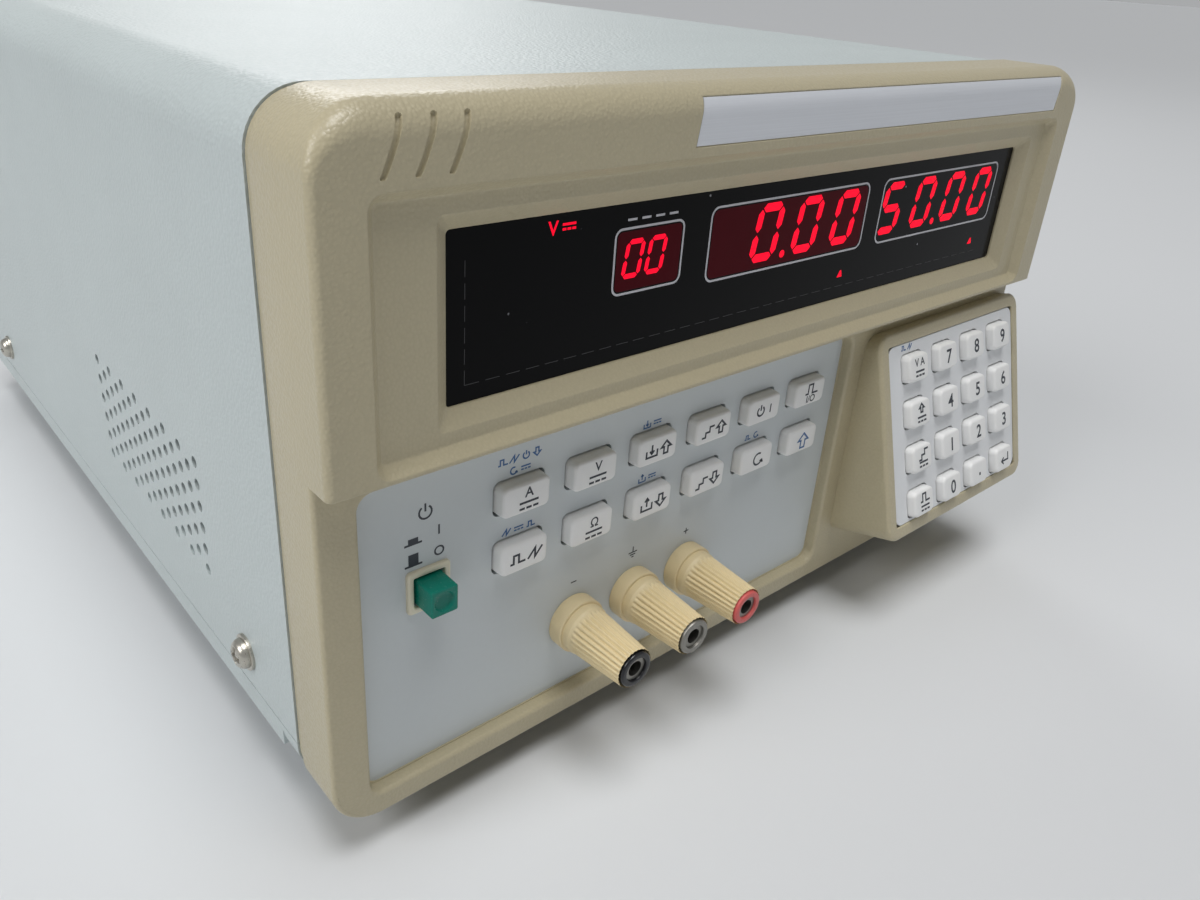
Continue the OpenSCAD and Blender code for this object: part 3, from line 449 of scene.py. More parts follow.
def lit(name, colour, strength):
    """A lit LED face: even light, and a base colour made slightly uneven by the diffuser's grain."""
    made, tree, shader, where = start_material(name)
    grain = add(tree, "ShaderNodeTexNoise", {"Vector": where, "Scale": per_mm(2.5), "Detail": 1.0})
    tinted(tree, shader, colour, grain.outputs["Fac"], 0.8, 1.0)
    shader.inputs["Emission Color"].default_value = colour
    shader.inputs["Emission Strength"].default_value = strength
    shader.inputs["Roughness"].default_value = 0.4
    shader.inputs["Specular IOR Level"].default_value = 0.05
    return made


def make_finishes():
    """Every finish of the load, by a short name."""
    hues = bpy.context.scene.load_colours
    kit = {}
    # Moulded ABS from a spark-textured tool: warm beige, a fine pebble that glitters at a low angle
    kit["moulding"] = mottled(
        "abs_moulded_spark_texture", tuple(hues.moulding), 0.37, 0.75, 0.12, 60.0, (0.9, 1.1), 0.08, True)
    # Powder paint on sheet steel: pale blue-grey, a dense pebbled skin
    kit["cabinet"] = mottled(
        "powder_paint_pebbled", tuple(hues.cabinet), 0.48, 0.95, 0.18, 40.0, (0.9, 1.1), 0.08, True)
    # Screen-printed enamel on the front plate: smooth cool grey with a faint orange peel
    kit["panel"] = mottled("enamel_baked_smooth", tuple(hues.panel), 0.42, 1.6, 0.006, 50.0, (0.97, 1.03), 0.05)
    # The same enamel in a paler shade on the keypad's plate
    kit["plate"] = mottled("enamel_baked_pale", linear("#E4E6E8"), 0.42, 1.6, 0.006, 50.0, (0.97, 1.03), 0.05)
    # Moulded ABS key caps: clean white with a soft gloss
    kit["keys"] = mottled("abs_moulded_white_caps", tuple(hues.keys), 0.36, 0.5, 0.004, 12.0, (0.97, 1.02), 0.06)
    # Moulded phenolic caps of the posts: cream, slightly blotched, a dull polish
    kit["posts"] = mottled("phenolic_moulded_cream", tuple(hues.posts), 0.42, 0.7, 0.008, 9.0, (0.93, 1.04), 0.08)
    # Moulded acrylic power button: deep green, polished faces
    kit["button"] = mottled(
        "acrylic_moulded_green", tuple(hues.button), 0.24, 0.6, 0.004, 5.0, (0.94, 1.05), 0.05,
        Specular_IOR_Level=0.3)
    # Moulded ABS switch frame: ivory, satin
    kit["ivory"] = mottled("abs_moulded_ivory", linear("#E6DFC8"), 0.4, 0.5, 0.005, 6.0, (0.96, 1.02), 0.06)
    # Black nylon mouldings inside and at the rear: a dull sheen
    kit["black"] = mottled("nylon_moulded_black", linear("#1B1B1E"), 0.5, 0.6, 0.01, 15.0, (0.85, 1.2), 0.08)
    # Moulded rubber feet: dark grey, dry
    kit["rubber"] = mottled("rubber_moulded_grey", linear("#2C2E31"), 0.72, 0.8, 0.02, 10.0, (0.85, 1.15), 0.08)
    # Coloured nylon rings in the ends of the posts: polished black and satin red
    kit["ring_black"] = mottled(
        "nylon_turned_black_ring", linear("#111216"), 0.2, 0.5, 0.004, 4.0, (0.8, 1.2), 0.06)
    kit["ring_red"] = mottled("nylon_turned_red_ring", linear("#D4605C"), 0.36, 0.5, 0.004, 4.0, (0.9, 1.08), 0.06)
    # Glass-epoxy circuit boards under green solder mask: even green, half glossy
    kit["board"] = mottled("glass_epoxy_solder_mask", linear("#2F6B45"), 0.38, 0.8, 0.01, 8.0, (0.85, 1.1), 0.06)
    # Varnished steel laminations of the transformer: brownish grey, uneven
    kit["core"] = mottled("steel_laminations_varnished", linear("#7A7466"), 0.5, 0.5, 0.02, 6.0, (0.8, 1.1), 0.1)
    # Cast LED modules behind the window: dark red while unlit
    kit["module"] = mottled("epoxy_cast_dark_red", linear("#3A1216"), 0.4, 0.6, 0.004, 6.0, (0.9, 1.1), 0.05)
    # Nickel-plated brass, zinc-plated screws and the extruded heat sink: fine streaks that stretch the shine
    kit["nickel"] = plated("nickel_plated_brass_turned", linear("#C9C6BE"), 0.24, 0.3, 0)
    kit["dull"] = plated("nickel_plated_brass_worn", linear("#8E8C86"), 0.42, 0.3, 1)
    kit["zinc"] = plated("zinc_plated_steel_headed", linear("#BDB9AF"), 0.3, 0.35, 1)
    kit["aluminium"] = plated("aluminium_extruded", linear("#A9ABAE"), 0.42, 0.4, 1)
    # Screen inks: flat and dull, charcoal, blue, smoke and pale grey
    kit["ink"] = mottled("screen_ink_charcoal", linear("#30353E"), 0.5, 0.4, 0.002, 4.0, (0.92, 1.08), 0.05)
    kit["ink_blue"] = mottled("screen_ink_blue", linear("#3D6699"), 0.5, 0.4, 0.002, 4.0, (0.92, 1.08), 0.05)
    kit["ink_faint"] = mottled("screen_ink_smoke", linear("#2B2B2E"), 0.5, 0.4, 0.002, 3.0, (0.6, 1.2), 0.05)
    kit["ink_pale"] = mottled("screen_ink_pale_grey", linear("#C9C9CF"), 0.45, 0.4, 0.002, 4.0, (0.95, 1.03), 0.05)
    # LED diffusers: an even red light, and a dim glow round the digits
    kit["lit"] = lit("led_diffuser_lit_red", tuple(hues.digits), 0.95)
    kit["unlit"] = lit("led_diffuser_glow_dark_red", linear("#3A040C"), 0.35)
    kit["label"] = label_finish()
    kit["window"] = window_finish()
    return kit


def label_finish():
    """Anodised aluminium label strip: pale lilac-grey, drawn along its length and clear coated."""
    made, tree, shader, where = start_material("aluminium_anodised_brushed_strip")
    turned = add(tree, "ShaderNodeMapping", {"Vector": where, "Scale": (per_mm(40), per_mm(0.35), per_mm(0.35))})
    line = add(tree, "ShaderNodeTexNoise", {"Vector": turned.outputs["Vector"], "Scale": 1.0, "Detail": 3.0})
    tinted(tree, shader, linear("#DDE0E6"), line.outputs["Fac"], 0.92, 1.05)
    shader.inputs["Metallic"].default_value = 0.12
    gloss = add(tree, "ShaderNodeMapRange", {"Value": line.outputs["Fac"], "To Min": 0.26, "To Max": 0.42})
    tree.links.new(gloss.outputs["Result"], shader.inputs["Roughness"])
    return made


def window_finish():
    """Smoked acrylic window, coated against glare: near black and glossy, with sparse dust and smears."""
    made, tree, shader, where = start_material("acrylic_cast_smoked")
    dust = add(tree, "ShaderNodeTexVoronoi", {"Vector": where, "Scale": per_mm(5.0), "Randomness": 1.0})
    speck = add(tree, "ShaderNodeMapRange", {
        "Value": dust.outputs["Distance"], "From Min": 0.03, "From Max": 0.07, "To Min": 1.0, "To Max": 0.0})
    few = add(tree, "ShaderNodeTexNoise", {"Vector": where, "Scale": per_mm(22.0), "Detail": 1.0})
    chosen = add(tree, "ShaderNodeMapRange", {"Value": few.outputs["Fac"], "From Min": 0.54, "From Max": 0.6})
    both = add(tree, "ShaderNodeMath", {
        0: speck.outputs["Result"], 1: chosen.outputs["Result"]}, operation="MULTIPLY")
    mix = add(tree, "ShaderNodeMix", {"Factor": both.outputs["Value"]}, data_type="RGBA")
    mix.inputs[6].default_value = linear("#060607")
    mix.inputs[7].default_value = linear("#A8A8AE")
    tree.links.new(mix.outputs[2], shader.inputs["Base Color"])
    smear = add(tree, "ShaderNodeTexNoise", {"Vector": where, "Scale": per_mm(30.0), "Detail": 4.0})
    gloss = add(tree, "ShaderNodeMapRange", {"Value": smear.outputs["Fac"], "To Min": 0.05, "To Max": 0.2})
    tree.links.new(gloss.outputs["Result"], shader.inputs["Roughness"])
    shader.inputs["Specular IOR Level"].default_value = 0.08
    return made


KIT = {}


# Front moulding


def back_edge(start):
    """The profile's run (grow, out) from the side wall over the sunk rear band to the tongue under the cover."""
    corners = [(0, start), (0, BAND_OUT), (-BAND_IN, BAND_OUT), (-BAND_IN, SEAM_OUT), (-TONGUE_IN, SEAM_OUT),
               (-TONGUE_IN, TONGUE_OUT)]
    return filleted(corners, [0.2, 0.15, 0.3, 0.1], 4)


def brow_section():
    """The brow's section from the band under its marks over the upper edge to the tongue: rows of
    (up, out, normal up, normal out, length along the section counted from the marks' lower end)."""
    r = bpy.context.scene.load_sizes.brow_round / MM
    flat_top = TOP_Z - r
    up = np.concatenate([[BAND_LOW, MARK_LOW - 0.1], np.arange(MARK_LOW, flat_top, 0.12)])
    face = np.column_stack([up, np.full(len(up), BROW_OUT), np.zeros(len(up)), np.ones(len(up))])
    angle = np.radians(np.linspace(0, 90, BEND_STEPS))
    bend = np.column_stack([
        flat_top + r * np.sin(angle), BROW_OUT - r + r * np.cos(angle), np.sin(angle), np.cos(angle)])
    back = back_edge(0) + [TOP_Z, 0]
    top = np.column_stack([back, np.ones(len(back)), np.zeros(len(back))])
    rows = np.concatenate([face, bend, top])
    step = np.hypot(*np.diff(rows[:, :2], axis=0).T)
    along = np.concatenate([[0], np.cumsum(step)]) - (MARK_LOW - BAND_LOW)
    return np.column_stack([rows, along])


def mark_length():
    """Length of the marks along the brow's section: its straight part and its share of the arc."""
    r = bpy.context.scene.load_sizes.brow_round / MM
    return TOP_Z - r - MARK_LOW + r * np.arcsin((MARK_HIGH - TOP_Z + r) / r)


def slanted(columns, along, reach):
    """Across position of columns: each leans as its nearest mark, and stands still beyond the marks."""
    slope = np.interp(columns, [GROOVES[-1] + 3, LABEL[0] - 3], [GROOVE_SLOPE, LABEL_SLOPE])
    run = np.clip(along, 0.3, reach + 0.3)[:, None]
    bend = GROOVE_BEND * np.clip((LABEL[0] - 3 - columns) / 40, 0, 1)
    return columns + slope * run + bend * run ** 2


def brow_top():
    """The band over the display with its rounding: the section carried across, sunk along its normal by
    capsule-shaped grooves and by the flat field of the label strip."""
    section = brow_section()
    up, out, n_up, n_out, along = section.T
    reach = mark_length()
    depth = bpy.context.scene.load_sizes.groove_depth / MM
    half = GROOVE_HALF
    # Columns close together across each groove, with a guard column on either side that keeps the face flat
    spread = np.concatenate([[-0.74], np.linspace(-0.66, 0.66, 23), [0.74]])
    plain = np.linspace(GROOVES[-1] + 6, LABEL[0] - 4, 10)
    field = np.linspace(LABEL[0] + 4, LABEL[1] - 4, 20)
    label = [LABEL[0] - 0.06, LABEL[0] + 0.06, *field, LABEL[1] - 0.06, LABEL[1] + 0.06]
    columns = np.concatenate([*(g + spread for g in GROOVES), plain, label])
    across = slanted(columns, along, reach)
    ends = CORNER + LEFT, RIGHT - CORNER
    across = np.column_stack([np.full(len(up), ends[0]), across, np.full(len(up), ends[1])])
    columns = np.concatenate([[ends[0] - 9], columns, [ends[1] + 9]])
    lean = np.cos(np.arctan(GROOVE_SLOPE))
    aside = np.abs(columns[:, None] - GROOVES).min(1) * lean
    beyond = np.maximum(0, np.maximum(half - along, along - (reach - half)))
    away = np.hypot(aside[None, :], beyond[:, None])
    sunk = depth * np.sqrt(np.clip(1 - (away / half) ** 3, 0, 1))
    wide = smooth_step((columns - LABEL[0]) / 0.12 + 0.5) * smooth_step((LABEL[1] - columns) / 0.12 + 0.5)
    tall = smooth_step(along / 0.2) * smooth_step((reach - along) / 0.2)
    sunk = sunk + LABEL_SEAT * wide[None, :] * tall[:, None]
    shape = np.stack([across, up[:, None] - sunk * n_up[:, None], out[:, None] - sunk * n_out[:, None]], -1)
    return patch(on_front(shape), (0, -1, 0.6))


def upper_corner():
    """Outward normals round the brow's upper left corner, and the edge rounding that grows along them from
    the side's to the top's."""
    sizes = bpy.context.scene.load_sizes
    normal = quarter(180, 90)
    share = smooth_step(np.linspace(0, 1, len(normal)))
    return normal, (sizes.side_round + (sizes.brow_round - sizes.side_round) * share) / MM


def corner_fill(sign):
    """The flat front between the band, the brow's side and its upper corner's rounding."""
    normal, r = upper_corner()
    edge = np.array([LEFT + CORNER, TOP_Z - CORNER]) + (CORNER - r)[:, None] * normal
    share = np.linspace(0, 1, 6)[:, None]
    up = BAND_LOW * (1 - share) + edge[:, 1] * share
    across = np.broadcast_to(-sign * edge[:, 0], up.shape)
    return patch(on_front(np.stack([across, up, np.full(up.shape, BROW_OUT)], -1)), FRONT)


def edge_path(points, profile):
    """A profile (grow, out) carried along a path of corner middles and their normals: each point lies at
    the corner radius plus its grow along its own normal."""
    middle, normal = points
    grow, out = np.asarray(profile, float).T
    flat = middle[None] + (CORNER + grow)[:, None, None] * normal[None]
    return np.concatenate([flat, np.broadcast_to(out[:, None, None], flat.shape[:2] + (1,))], -1)


def quarter(first, last, steps=12):
    """Unit normals that turn from one angle to another, in degrees."""
    angle = np.radians(np.linspace(first, last, steps + 1))
    return np.stack([np.cos(angle), np.sin(angle)], -1)


def brow_side(sign):
    """One side of the brow: the front edge's rounding carried up the side and, growing, round the corner."""
    sizes = bpy.context.scene.load_sizes
    normal, r = upper_corner()
    middle = np.tile([LEFT + CORNER, TOP_Z - CORNER], (len(normal), 1))
    middle = np.concatenate([[[LEFT + CORNER, BROW_Z + sizes.lip_round / MM]], middle])
    normal = np.concatenate([[[-1, 0]], normal])
    r = np.concatenate([r[:1], r])
    bend = np.radians(np.linspace(0, 90, BEND_STEPS))[:, None]
    back = np.repeat(back_edge(0)[:, None], len(r), 1)
    grow = np.concatenate([r * (np.sin(bend) - 1), back[..., 0]])
    out = np.concatenate([BROW_OUT - r * (1 - np.cos(bend)), back[..., 1]])
    flip = np.array([-sign, 1])
    flat = (middle + (CORNER + grow)[..., None] * normal) * flip
    rows = np.concatenate([flat, out[..., None]], -1)
    return patch(on_front(rows), ("from", (0, FACE_Y + 30, (BROW_Z + TOP_Z) / 2)))


def brow_lip():
    """The brow's lower edge: a quarter round carried along its plan, then the flat underside."""
    sizes = bpy.context.scene.load_sizes
    r, lip = sizes.side_round / MM, sizes.lip_round / MM
    turn = quarter(180, 90, BEND_STEPS - 1)
    x, out = LEFT + r + r * turn[:, 0], BROW_OUT - r + r * turn[:, 1]
    plan = np.concatenate([[[LEFT, FRAME_OUT - 0.6]], np.column_stack([x, out])])
    normal = np.concatenate([[[-1, 0]], turn])
    mirror = np.array([-1, 1])
    plan = np.concatenate([plan, (plan * mirror)[::-1]])
    normal = np.concatenate([normal, (normal * mirror)[::-1]])
    bend = np.radians(np.linspace(0, 90, 7))
    inset, up = lip * (1 - np.cos(bend)), BROW_Z + lip - lip * np.sin(bend)
    flat = plan[None] - inset[:, None, None] * normal[None]
    rows = np.stack([flat[..., 0], np.broadcast_to(up[:, None], flat.shape[:2]), flat[..., 1]], -1)
    under = rows[-1].copy()
    under[:, 2] = -0.3
    return patch(on_front(np.concatenate([rows, under[None]])), (0, -0.6, -1))


def lower_skin():
    """The lower frame's outer skin: its rounded front edge carried down one side, under and up the other."""
    sizes = bpy.context.scene.load_sizes
    r, high = sizes.frame_round / MM, BROW_Z + sizes.lip_round / MM
    low = LOW_Z + CORNER
    left, right = LEFT + CORNER, RIGHT - CORNER
    one, two = quarter(180, 270), quarter(270, 360)
    middle = np.concatenate([
        [[left, high]], np.tile([left, low], (len(one), 1)),
        np.tile([right, low], (len(two), 1)), [[right, high]]])
    normal = np.concatenate([[[-1, 0]], one, two, [[1, 0]]])
    bend = np.radians(np.linspace(0, 90, 9))
    arc = np.column_stack([-r + r * np.sin(bend), FRAME_OUT - r + r * np.cos(bend)])
    rows = edge_path((middle, normal), np.concatenate([arc, back_edge(FRAME_OUT - r - 0.5)]))
    return patch(on_front(rows), ("from", (0, FACE_Y + 30, BROW_Z)))


def front_patches():
    """The whole front moulding: stepped display recess, brow, lower frame and panel opening."""
    sizes = bpy.context.scene.load_sizes
    lip, edge, r = sizes.lip_round / MM, sizes.opening_round / MM, sizes.frame_round / MM
    side = sizes.side_round / MM
    outer = filleted([(0.3, BROW_OUT), (0, BROW_OUT), (-2.1, LEDGE_OUT), (-2.7, LEDGE_OUT)], [0.5, 0.7])
    corners = [(0.4, LEDGE_OUT), (0, LEDGE_OUT), (-INNER_IN, WINDOW_OUT + 0.5), (-INNER_IN, WINDOW_OUT - 0.1)]
    inner = filleted(corners, [0.6, 0.25])
    face = (LEFT + side, RIGHT - side, BROW_Z + lip, BAND_LOW, 0)
    lower = (LEFT + r, RIGHT - r, LOW_Z + r, BROW_Z + 1.5, (CORNER - r, CORNER - r, 0, 0))
    corners = [(edge, FRAME_OUT), (0, FRAME_OUT), (0, 0.3), (-0.4, 0.3), (-0.4, -0.3)]
    wall = filleted(corners, [edge * 0.98, 0.05, 0.15], 8)
    loops = [
        carried(RECESS, outer, 12),
        between((INNER, 0.4), (RECESS, -2.7), LEDGE_OUT, 12),
        carried(INNER, inner, 12, 1, 1.0),
        between((RECESS, 0.3), (face, 0), BROW_OUT, 12),
        between((OPENING, edge), (lower, 0), FRAME_OUT, 8),
        carried(OPENING, wall, 8),
    ]
    parts = [patch(on_front(rows), FRONT, True) for rows in loops]
    parts += [brow_top(), corner_fill(-1), corner_fill(1), brow_side(-1), brow_side(1), brow_lip(), lower_skin()]
    return parts


class LOAD_OT_finishes(bpy.types.Operator):
    """Makes every finish and paints the CAD nodes that stay in view."""

    bl_idname = "load.finishes"
    bl_label = "Finishes"

    def execute(self, context):
        KIT.update(make_finishes())
        worn = {
            "cabinet": ("top_cover", "chassis_base", "rear_panel"),
            "panel": ("control_panel",),
            "plate": ("keypad_plate",),
            "window": ("display_window",),
            "board": ("front_board", "keypad_board", "main_board"),
            "module": ("digit_modules",),
            "black": ("switch_body", "fan_frame", "fan_rotor", "mains_inlet"),
            "dull": ("post_studs",),
            "nickel": ("post_nuts", *("clamp_washer_" + n for n in POSTS)),
            "zinc": ("interface_socket",),
            "rubber": ("feet",),
            "aluminium": ("heat_sink",),
            "core": ("mains_transformer",),
        }
        for finish, names in worn.items():
            for name in names:
                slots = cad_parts[name].data.materials
                slots.clear()
                slots.append(KIT[finish])
        return {"FINISHED"}


class LOAD_OT_front(bpy.types.Operator):
    """Builds the moulded front with its brow, display recess, grooves and panel opening."""

    bl_idname = "load.front"
    bl_label = "Moulded front"

    def execute(self, context):
        skin = front_patches()
        make("front_moulding", skin, KIT["moulding"], "root", ("front_bezel",), merge=0.004)
        return {"FINISHED"}


class LOAD_OT_label(bpy.types.Operator):
    """Builds the bare label strip that lies in the brow's sunk field."""

    bl_idname = "load.label"
    bl_label = "Label strip"

    def execute(self, context):
        section = brow_section()
        reach = mark_length()
        rows = section[(section[:, 4] > 0.15) & (section[:, 4] < reach - 0.15)]
        up, out, n_up, n_out, along = rows.T
        field = np.linspace(LABEL[0] + 3, LABEL[1] - 3, 16)
        columns = np.array([LABEL[0] + 0.2, LABEL[0] + 0.24, *field, LABEL[1] - 0.24, LABEL[1] - 0.2])
        across = slanted(columns, along, reach)
        sunk = np.full(across.shape, 0.16)
        sunk[[0, -1]] = sunk[:, [0, -1]] = LABEL_SEAT + 0.02
        shape = np.stack([across, up[:, None] - sunk * n_up[:, None], out[:, None] - sunk * n_out[:, None]], -1)
        make("label_strip", [patch(on_front(shape), (0, -1, 0.6))], KIT["label"], "root", ())
        return {"FINISHED"}


class LOAD_OT_keypad(bpy.types.Operator):
    """Builds the wedge-shaped keypad housing."""

    bl_idname = "load.keypad"
    bl_label = "Keypad housing"

    def execute(self, context):
        w, h = PAD_SIZE
        rect = (-w / 2, w / 2, -h / 2, h / 2, 5.0)
        profile = filleted([(-4.2, -0.7), (-4.2, 0), (0, 0), (0, -3.2)], [0.4, 1.3], 9)
        rows = carried(rect, profile, 10)
        foot = rows[-1].copy()
        foot[:, 2] = (PAD_Y - FACE_Y + FRAME_OUT + np.sin(LEAN) * foot[:, 1]) / np.cos(LEAN) - 0.05
        rows = np.concatenate([rows, foot[None]])
        part = patch(on_keypad(rows), ("from", (PAD_X, PAD_Y + 14, PAD_Z)), True)
        make("keypad_wedge", [part], KIT["moulding"], "root", ("keypad_housing",))
        return {"FINISHED"}


# Keys

# Width and height of a function key and a keypad key, corner radius, how far each stands out, where the caps'
# sides start, and how far printing lies over its surface
FN_SIZE, FN_CORNER, FN_OUT = (13.4, 8.0), 1.8, 3.0
PAD_KEY, PAD_CORNER, PAD_OUT = (10.7, 8.6), 2.0, 2.3
KEY_LOW, PRINT_LIFT = -1.4, 0.03


def key_shape(size, corner, out):
    """A key cap: drafted sides, a rounded edge and a flat top, as rows of (across, up, out)."""
    edge = bpy.context.scene.load_sizes.key_round / MM
    w, h = size
    profile = filleted([(0, KEY_LOW), (-0.25, out), (-h / 2, out)], [edge], 8)
    return carried((-w / 2, w / 2, -h / 2, h / 2, corner), profile, 6, 6)


def arc(r, first, last, steps=14):
    """Points of a circle about the origin between two angles in degrees."""
    angle = np.radians(np.linspace(first, last, steps))
    return np.stack([r * np.cos(angle), r * np.sin(angle)], -1)


# Plain pictograms as lines in a box of side 1 about the origin
BLOCK_ARROW = np.array(
    [[-0.2, -0.5], [0.2, -0.5], [0.2, 0.02], [0.48, 0.02], [0, 0.5], [-0.48, 0.02], [-0.2, 0.02], [-0.2, -0.5]])
BOX = [(-0.5, 0.1), (-0.5, -0.4), (0.5, -0.4), (0.5, 0.1)]
SIGNS = {
    "dc": [[(-0.5, 0.14), (0.5, 0.14)], [(-0.5, -0.14), (-0.22, -0.14)], [(-0.14, -0.14), (0.14, -0.14)],
           [(0.22, -0.14), (0.5, -0.14)]],
    "up": [BLOCK_ARROW],
    "down": [-BLOCK_ARROW],
    "stairs": [[(-0.5, -0.4), (-0.2, -0.4), (-0.2, -0.1), (0.12, -0.1), (0.12, 0.22), (0.5, 0.22)]],
    "power": [arc(0.42, 125, 415), [(0, 0.05), (0, 0.58)]],
    "cycle": [arc(0.42, 60, 340), [(0.2, -0.22), (0.4, -0.14), (0.5, -0.36)]],
    "pulse": [[(-0.5, -0.25), (-0.28, -0.25), (-0.28, 0.25), (0.06, 0.25), (0.06, -0.25), (0.5, -0.25)]],
    "ramp": [[(-0.5, -0.3), (0.0, 0.3), (0.0, -0.3), (0.5, 0.3)]],
    "tray": [BOX, [(0, 0.5), (0, -0.15)], [(-0.2, 0.05), (0, -0.18), (0.2, 0.05)]],
    "lift": [BOX, [(0, -0.15), (0, 0.5)], [(-0.2, 0.28), (0, 0.52), (0.2, 0.28)]],
    "enter": [[(0.5, 0.45), (0.5, -0.15), (-0.45, -0.15)], [(-0.18, 0.12), (-0.5, -0.15), (-0.18, -0.42)]],
    "dot": [[(-0.5, 0), (0.5, 0)]],
}


def sign_print(items, width, place, out):
    """Pictograms and lettering of one print: items of (what, across, up, size)."""
    parts = []
    for what, across, up, size in items:
        if what in SIGNS:
            lines = [np.asarray(line) * size + (across, up) for line in SIGNS[what]]
            parts += strokes(lines, size if what == "dot" else width, place, out)
        else:
            parts.append(letters(what, size, (across, up), place, out))
    return parts


def over_dc(sign, size, across=0.5, up=1.5, width=5.2):
    """A sign or letter over the mark for direct current."""
    return [(sign, across, up, size), ("dc", across, -1.7, width)]


def pair(first, size, arrow):
    """A sign and an arrow side by side on a function key."""
    return [(first, -2.2, 0, size), (arrow, 2.6, 0, 3.4)]


# Legends as (sign or letters, across, up, size) about a key's middle
FN_PRINTS = {
    "a1": over_dc("A", 2.5),
    "a2": over_dc("V", 2.5),
    "a3": pair("tray", 3.6, "up"),
    "a4": pair("stairs", 4.4, "up"),
    "a5": [("power", -1.6, 0, 3.2), ("I", 2.4, 0, 2.6)],
    "a6": [("pulse", 0.4, 1.3, 5.5), ("I/O", 0.4, -1.7, 2.2)],
    "b1": [("pulse", -2.0, 0, 4.2), ("ramp", 2.8, 0, 4.0)],
    "b2": over_dc("\u03a9", 2.5),
    "b3": pair("lift", 3.6, "down"),
    "b4": pair("stairs", 4.4, "down"),
    "b5": [("cycle", 0.4, 0, 4.2)],
    "b6": [("up", 0.4, 0, 4.6)],
}
# Place and width of a keypad sign over its mark, place and size of a digit, and the width of printed lines
PAD_SIGN = (0.2, 1.7, 4.6)
DIGIT_PRINT, FN_LINE, PAD_LINE = (0.2, 0, 4.4), 0.56, 0.6
PAD_PRINTS = (
    ([("V", -1.4, 1.7, 2.4), ("A", 1.6, 1.7, 2.4), ("dc", 0.2, -1.7, 4.6)], "7", "8", "9"),
    (over_dc("up", 2.6, *PAD_SIGN), "4", "5", "6"),
    (over_dc("stairs", 5.0, *PAD_SIGN), "1", "2", "3"),
    (over_dc("pulse", 5.0, *PAD_SIGN), "0", [("dot", 0.2, -0.6, 0.95)], [("enter", 0.2, 0, 4.2)]),
)


class LOAD_OT_keys(bpy.types.Operator):
    """Builds the function keys and the keypad keys with their printed legends."""

    bl_idname = "load.keys"
    bl_label = "Keys"

    def execute(self, context):
        for name, items in FN_PRINTS.items():
            node = "fn_key_" + name
            middle = np.array([*middle_of(node), 0])
            ink = "ink_blue" if name == "b6" else "ink"
            place = shifted(on_front, middle)
            self.key(node, FN_SIZE, FN_CORNER, FN_OUT, place, items, FN_LINE, ink)
        for row, prints in enumerate(PAD_PRINTS):
            for column, items in enumerate(prints):
                node = f"pad_key_r{row + 1}c{column + 1}"
                middle = np.array([*(np.array(PAD_FIRST) + np.array([column, 3 - row]) * PAD_STEP), 0])
                if isinstance(items, str):
                    items = [(items, *DIGIT_PRINT)]
                place = shifted(on_keypad, middle)
                self.key(node, PAD_KEY, PAD_CORNER, PAD_OUT, place, items, PAD_LINE, "ink")
        return {"FINISHED"}

    def key(self, node, size, corner, out, place, items, width, ink):
        """One cap and its print; place puts the key's own (across, up, out) into the shared frame."""
        middle = place(np.array([0.0, 0.0, -2.0]))
        cap = patch(place(key_shape(size, corner, out)), ("from", middle), True)
        make(node + "_cap", [cap], KIT["keys"], node, (node,), crease=60)
        prints = sign_print(items, width, place, out + PRINT_LIFT)
        make(node + "_print", prints, KIT[ink], node, ())


# Power switch

# Half the button's side, and its dish as (radius, depth)
BUTTON_HALF = 3.235
DISH = ((2.55, 0), (2.42, 0.08), (2.2, 0.6), (1.9, 0.78), (1.0, 0.84), (0, 0.85))


class LOAD_OT_switch(bpy.types.Operator):
    """Builds the power button with its dished face, and the square switch frame."""

    bl_idname = "load.switch"
    bl_label = "Power switch"

    def execute(self, context):
        low, high = box_mm("switch_frame")
        middle = np.array([*middle_of("switch_frame"), 0])
        half = (high[0] - low[0]) / 2
        hole = BUTTON_HALF + 0.5
        rect = (-hole, hole, -hole, hole, 0.35)
        wide = half - hole
        profile = filleted([(wide, 0), (wide, 1.0), (0, 1.0), (0, -1.5)], [0.6, 0.45], 6)
        outer = (-half, half, -half, half, 1.0)
        ring = np.concatenate([carried(outer, profile[:7] - [wide, 0], 6), carried(rect, profile[7:], 6)])
        frame_part = patch(on_front(ring + middle), ("from", on_front(middle + [0, 0, -6])), True)
        make("switch_surround", [frame_part], KIT["ivory"], "root", ("switch_frame",))
        out = FACE_Y - box_mm("power_button")[0][1]
        body = (-BUTTON_HALF, BUTTON_HALF, -BUTTON_HALF, BUTTON_HALF, 0.5)
        walls = carried(body, filleted([(0, -1.8), (0, out), (-0.6, out)], [0.28], 6), 6)
        rounds = [np.column_stack([rounded_loop((-r, r, -r, r, r), 0, 6), np.full(28, out - d)]) for r, d in DISH]
        rows = np.concatenate([walls, np.array(rounds)])
        button = patch(on_front(rows + middle), ("from", on_front(middle)), True)
        make("power_button_cap", [button], KIT["button"], "power_button", ("power_button",))
        return {"FINISHED"}


# Binding posts

# A collar's profile, and the finish and material slot of each cap's end ring
COLLAR = [(7.0, 0), (7.2, 0.25), (7.2, 4.3), (3.4, 4.3)]
END_RINGS = {
    "minus": ("ring_black", "black_plastic"),
    "ground": ("dull", "plated_brass"),
    "plus": ("ring_red", "post_plastic"),
}


def lathe(profile, middle, steps=64, ripple=None):
    """A profile of (radius, out) turned about a post's axis; ripple changes the radius by angle and row."""
    radius, out = np.asarray(profile, float).T
    angle = np.linspace(0, 2 * np.pi, steps, endpoint=False)
    r = np.repeat(radius[:, None], steps, 1)
    if ripple is not None:
        r = r - ripple(angle[None, :], out[:, None])
    level = np.repeat(out[:, None], steps, 1)
    return on_front(np.stack([middle[0] + r * np.cos(angle), middle[1] + r * np.sin(angle), level], -1))


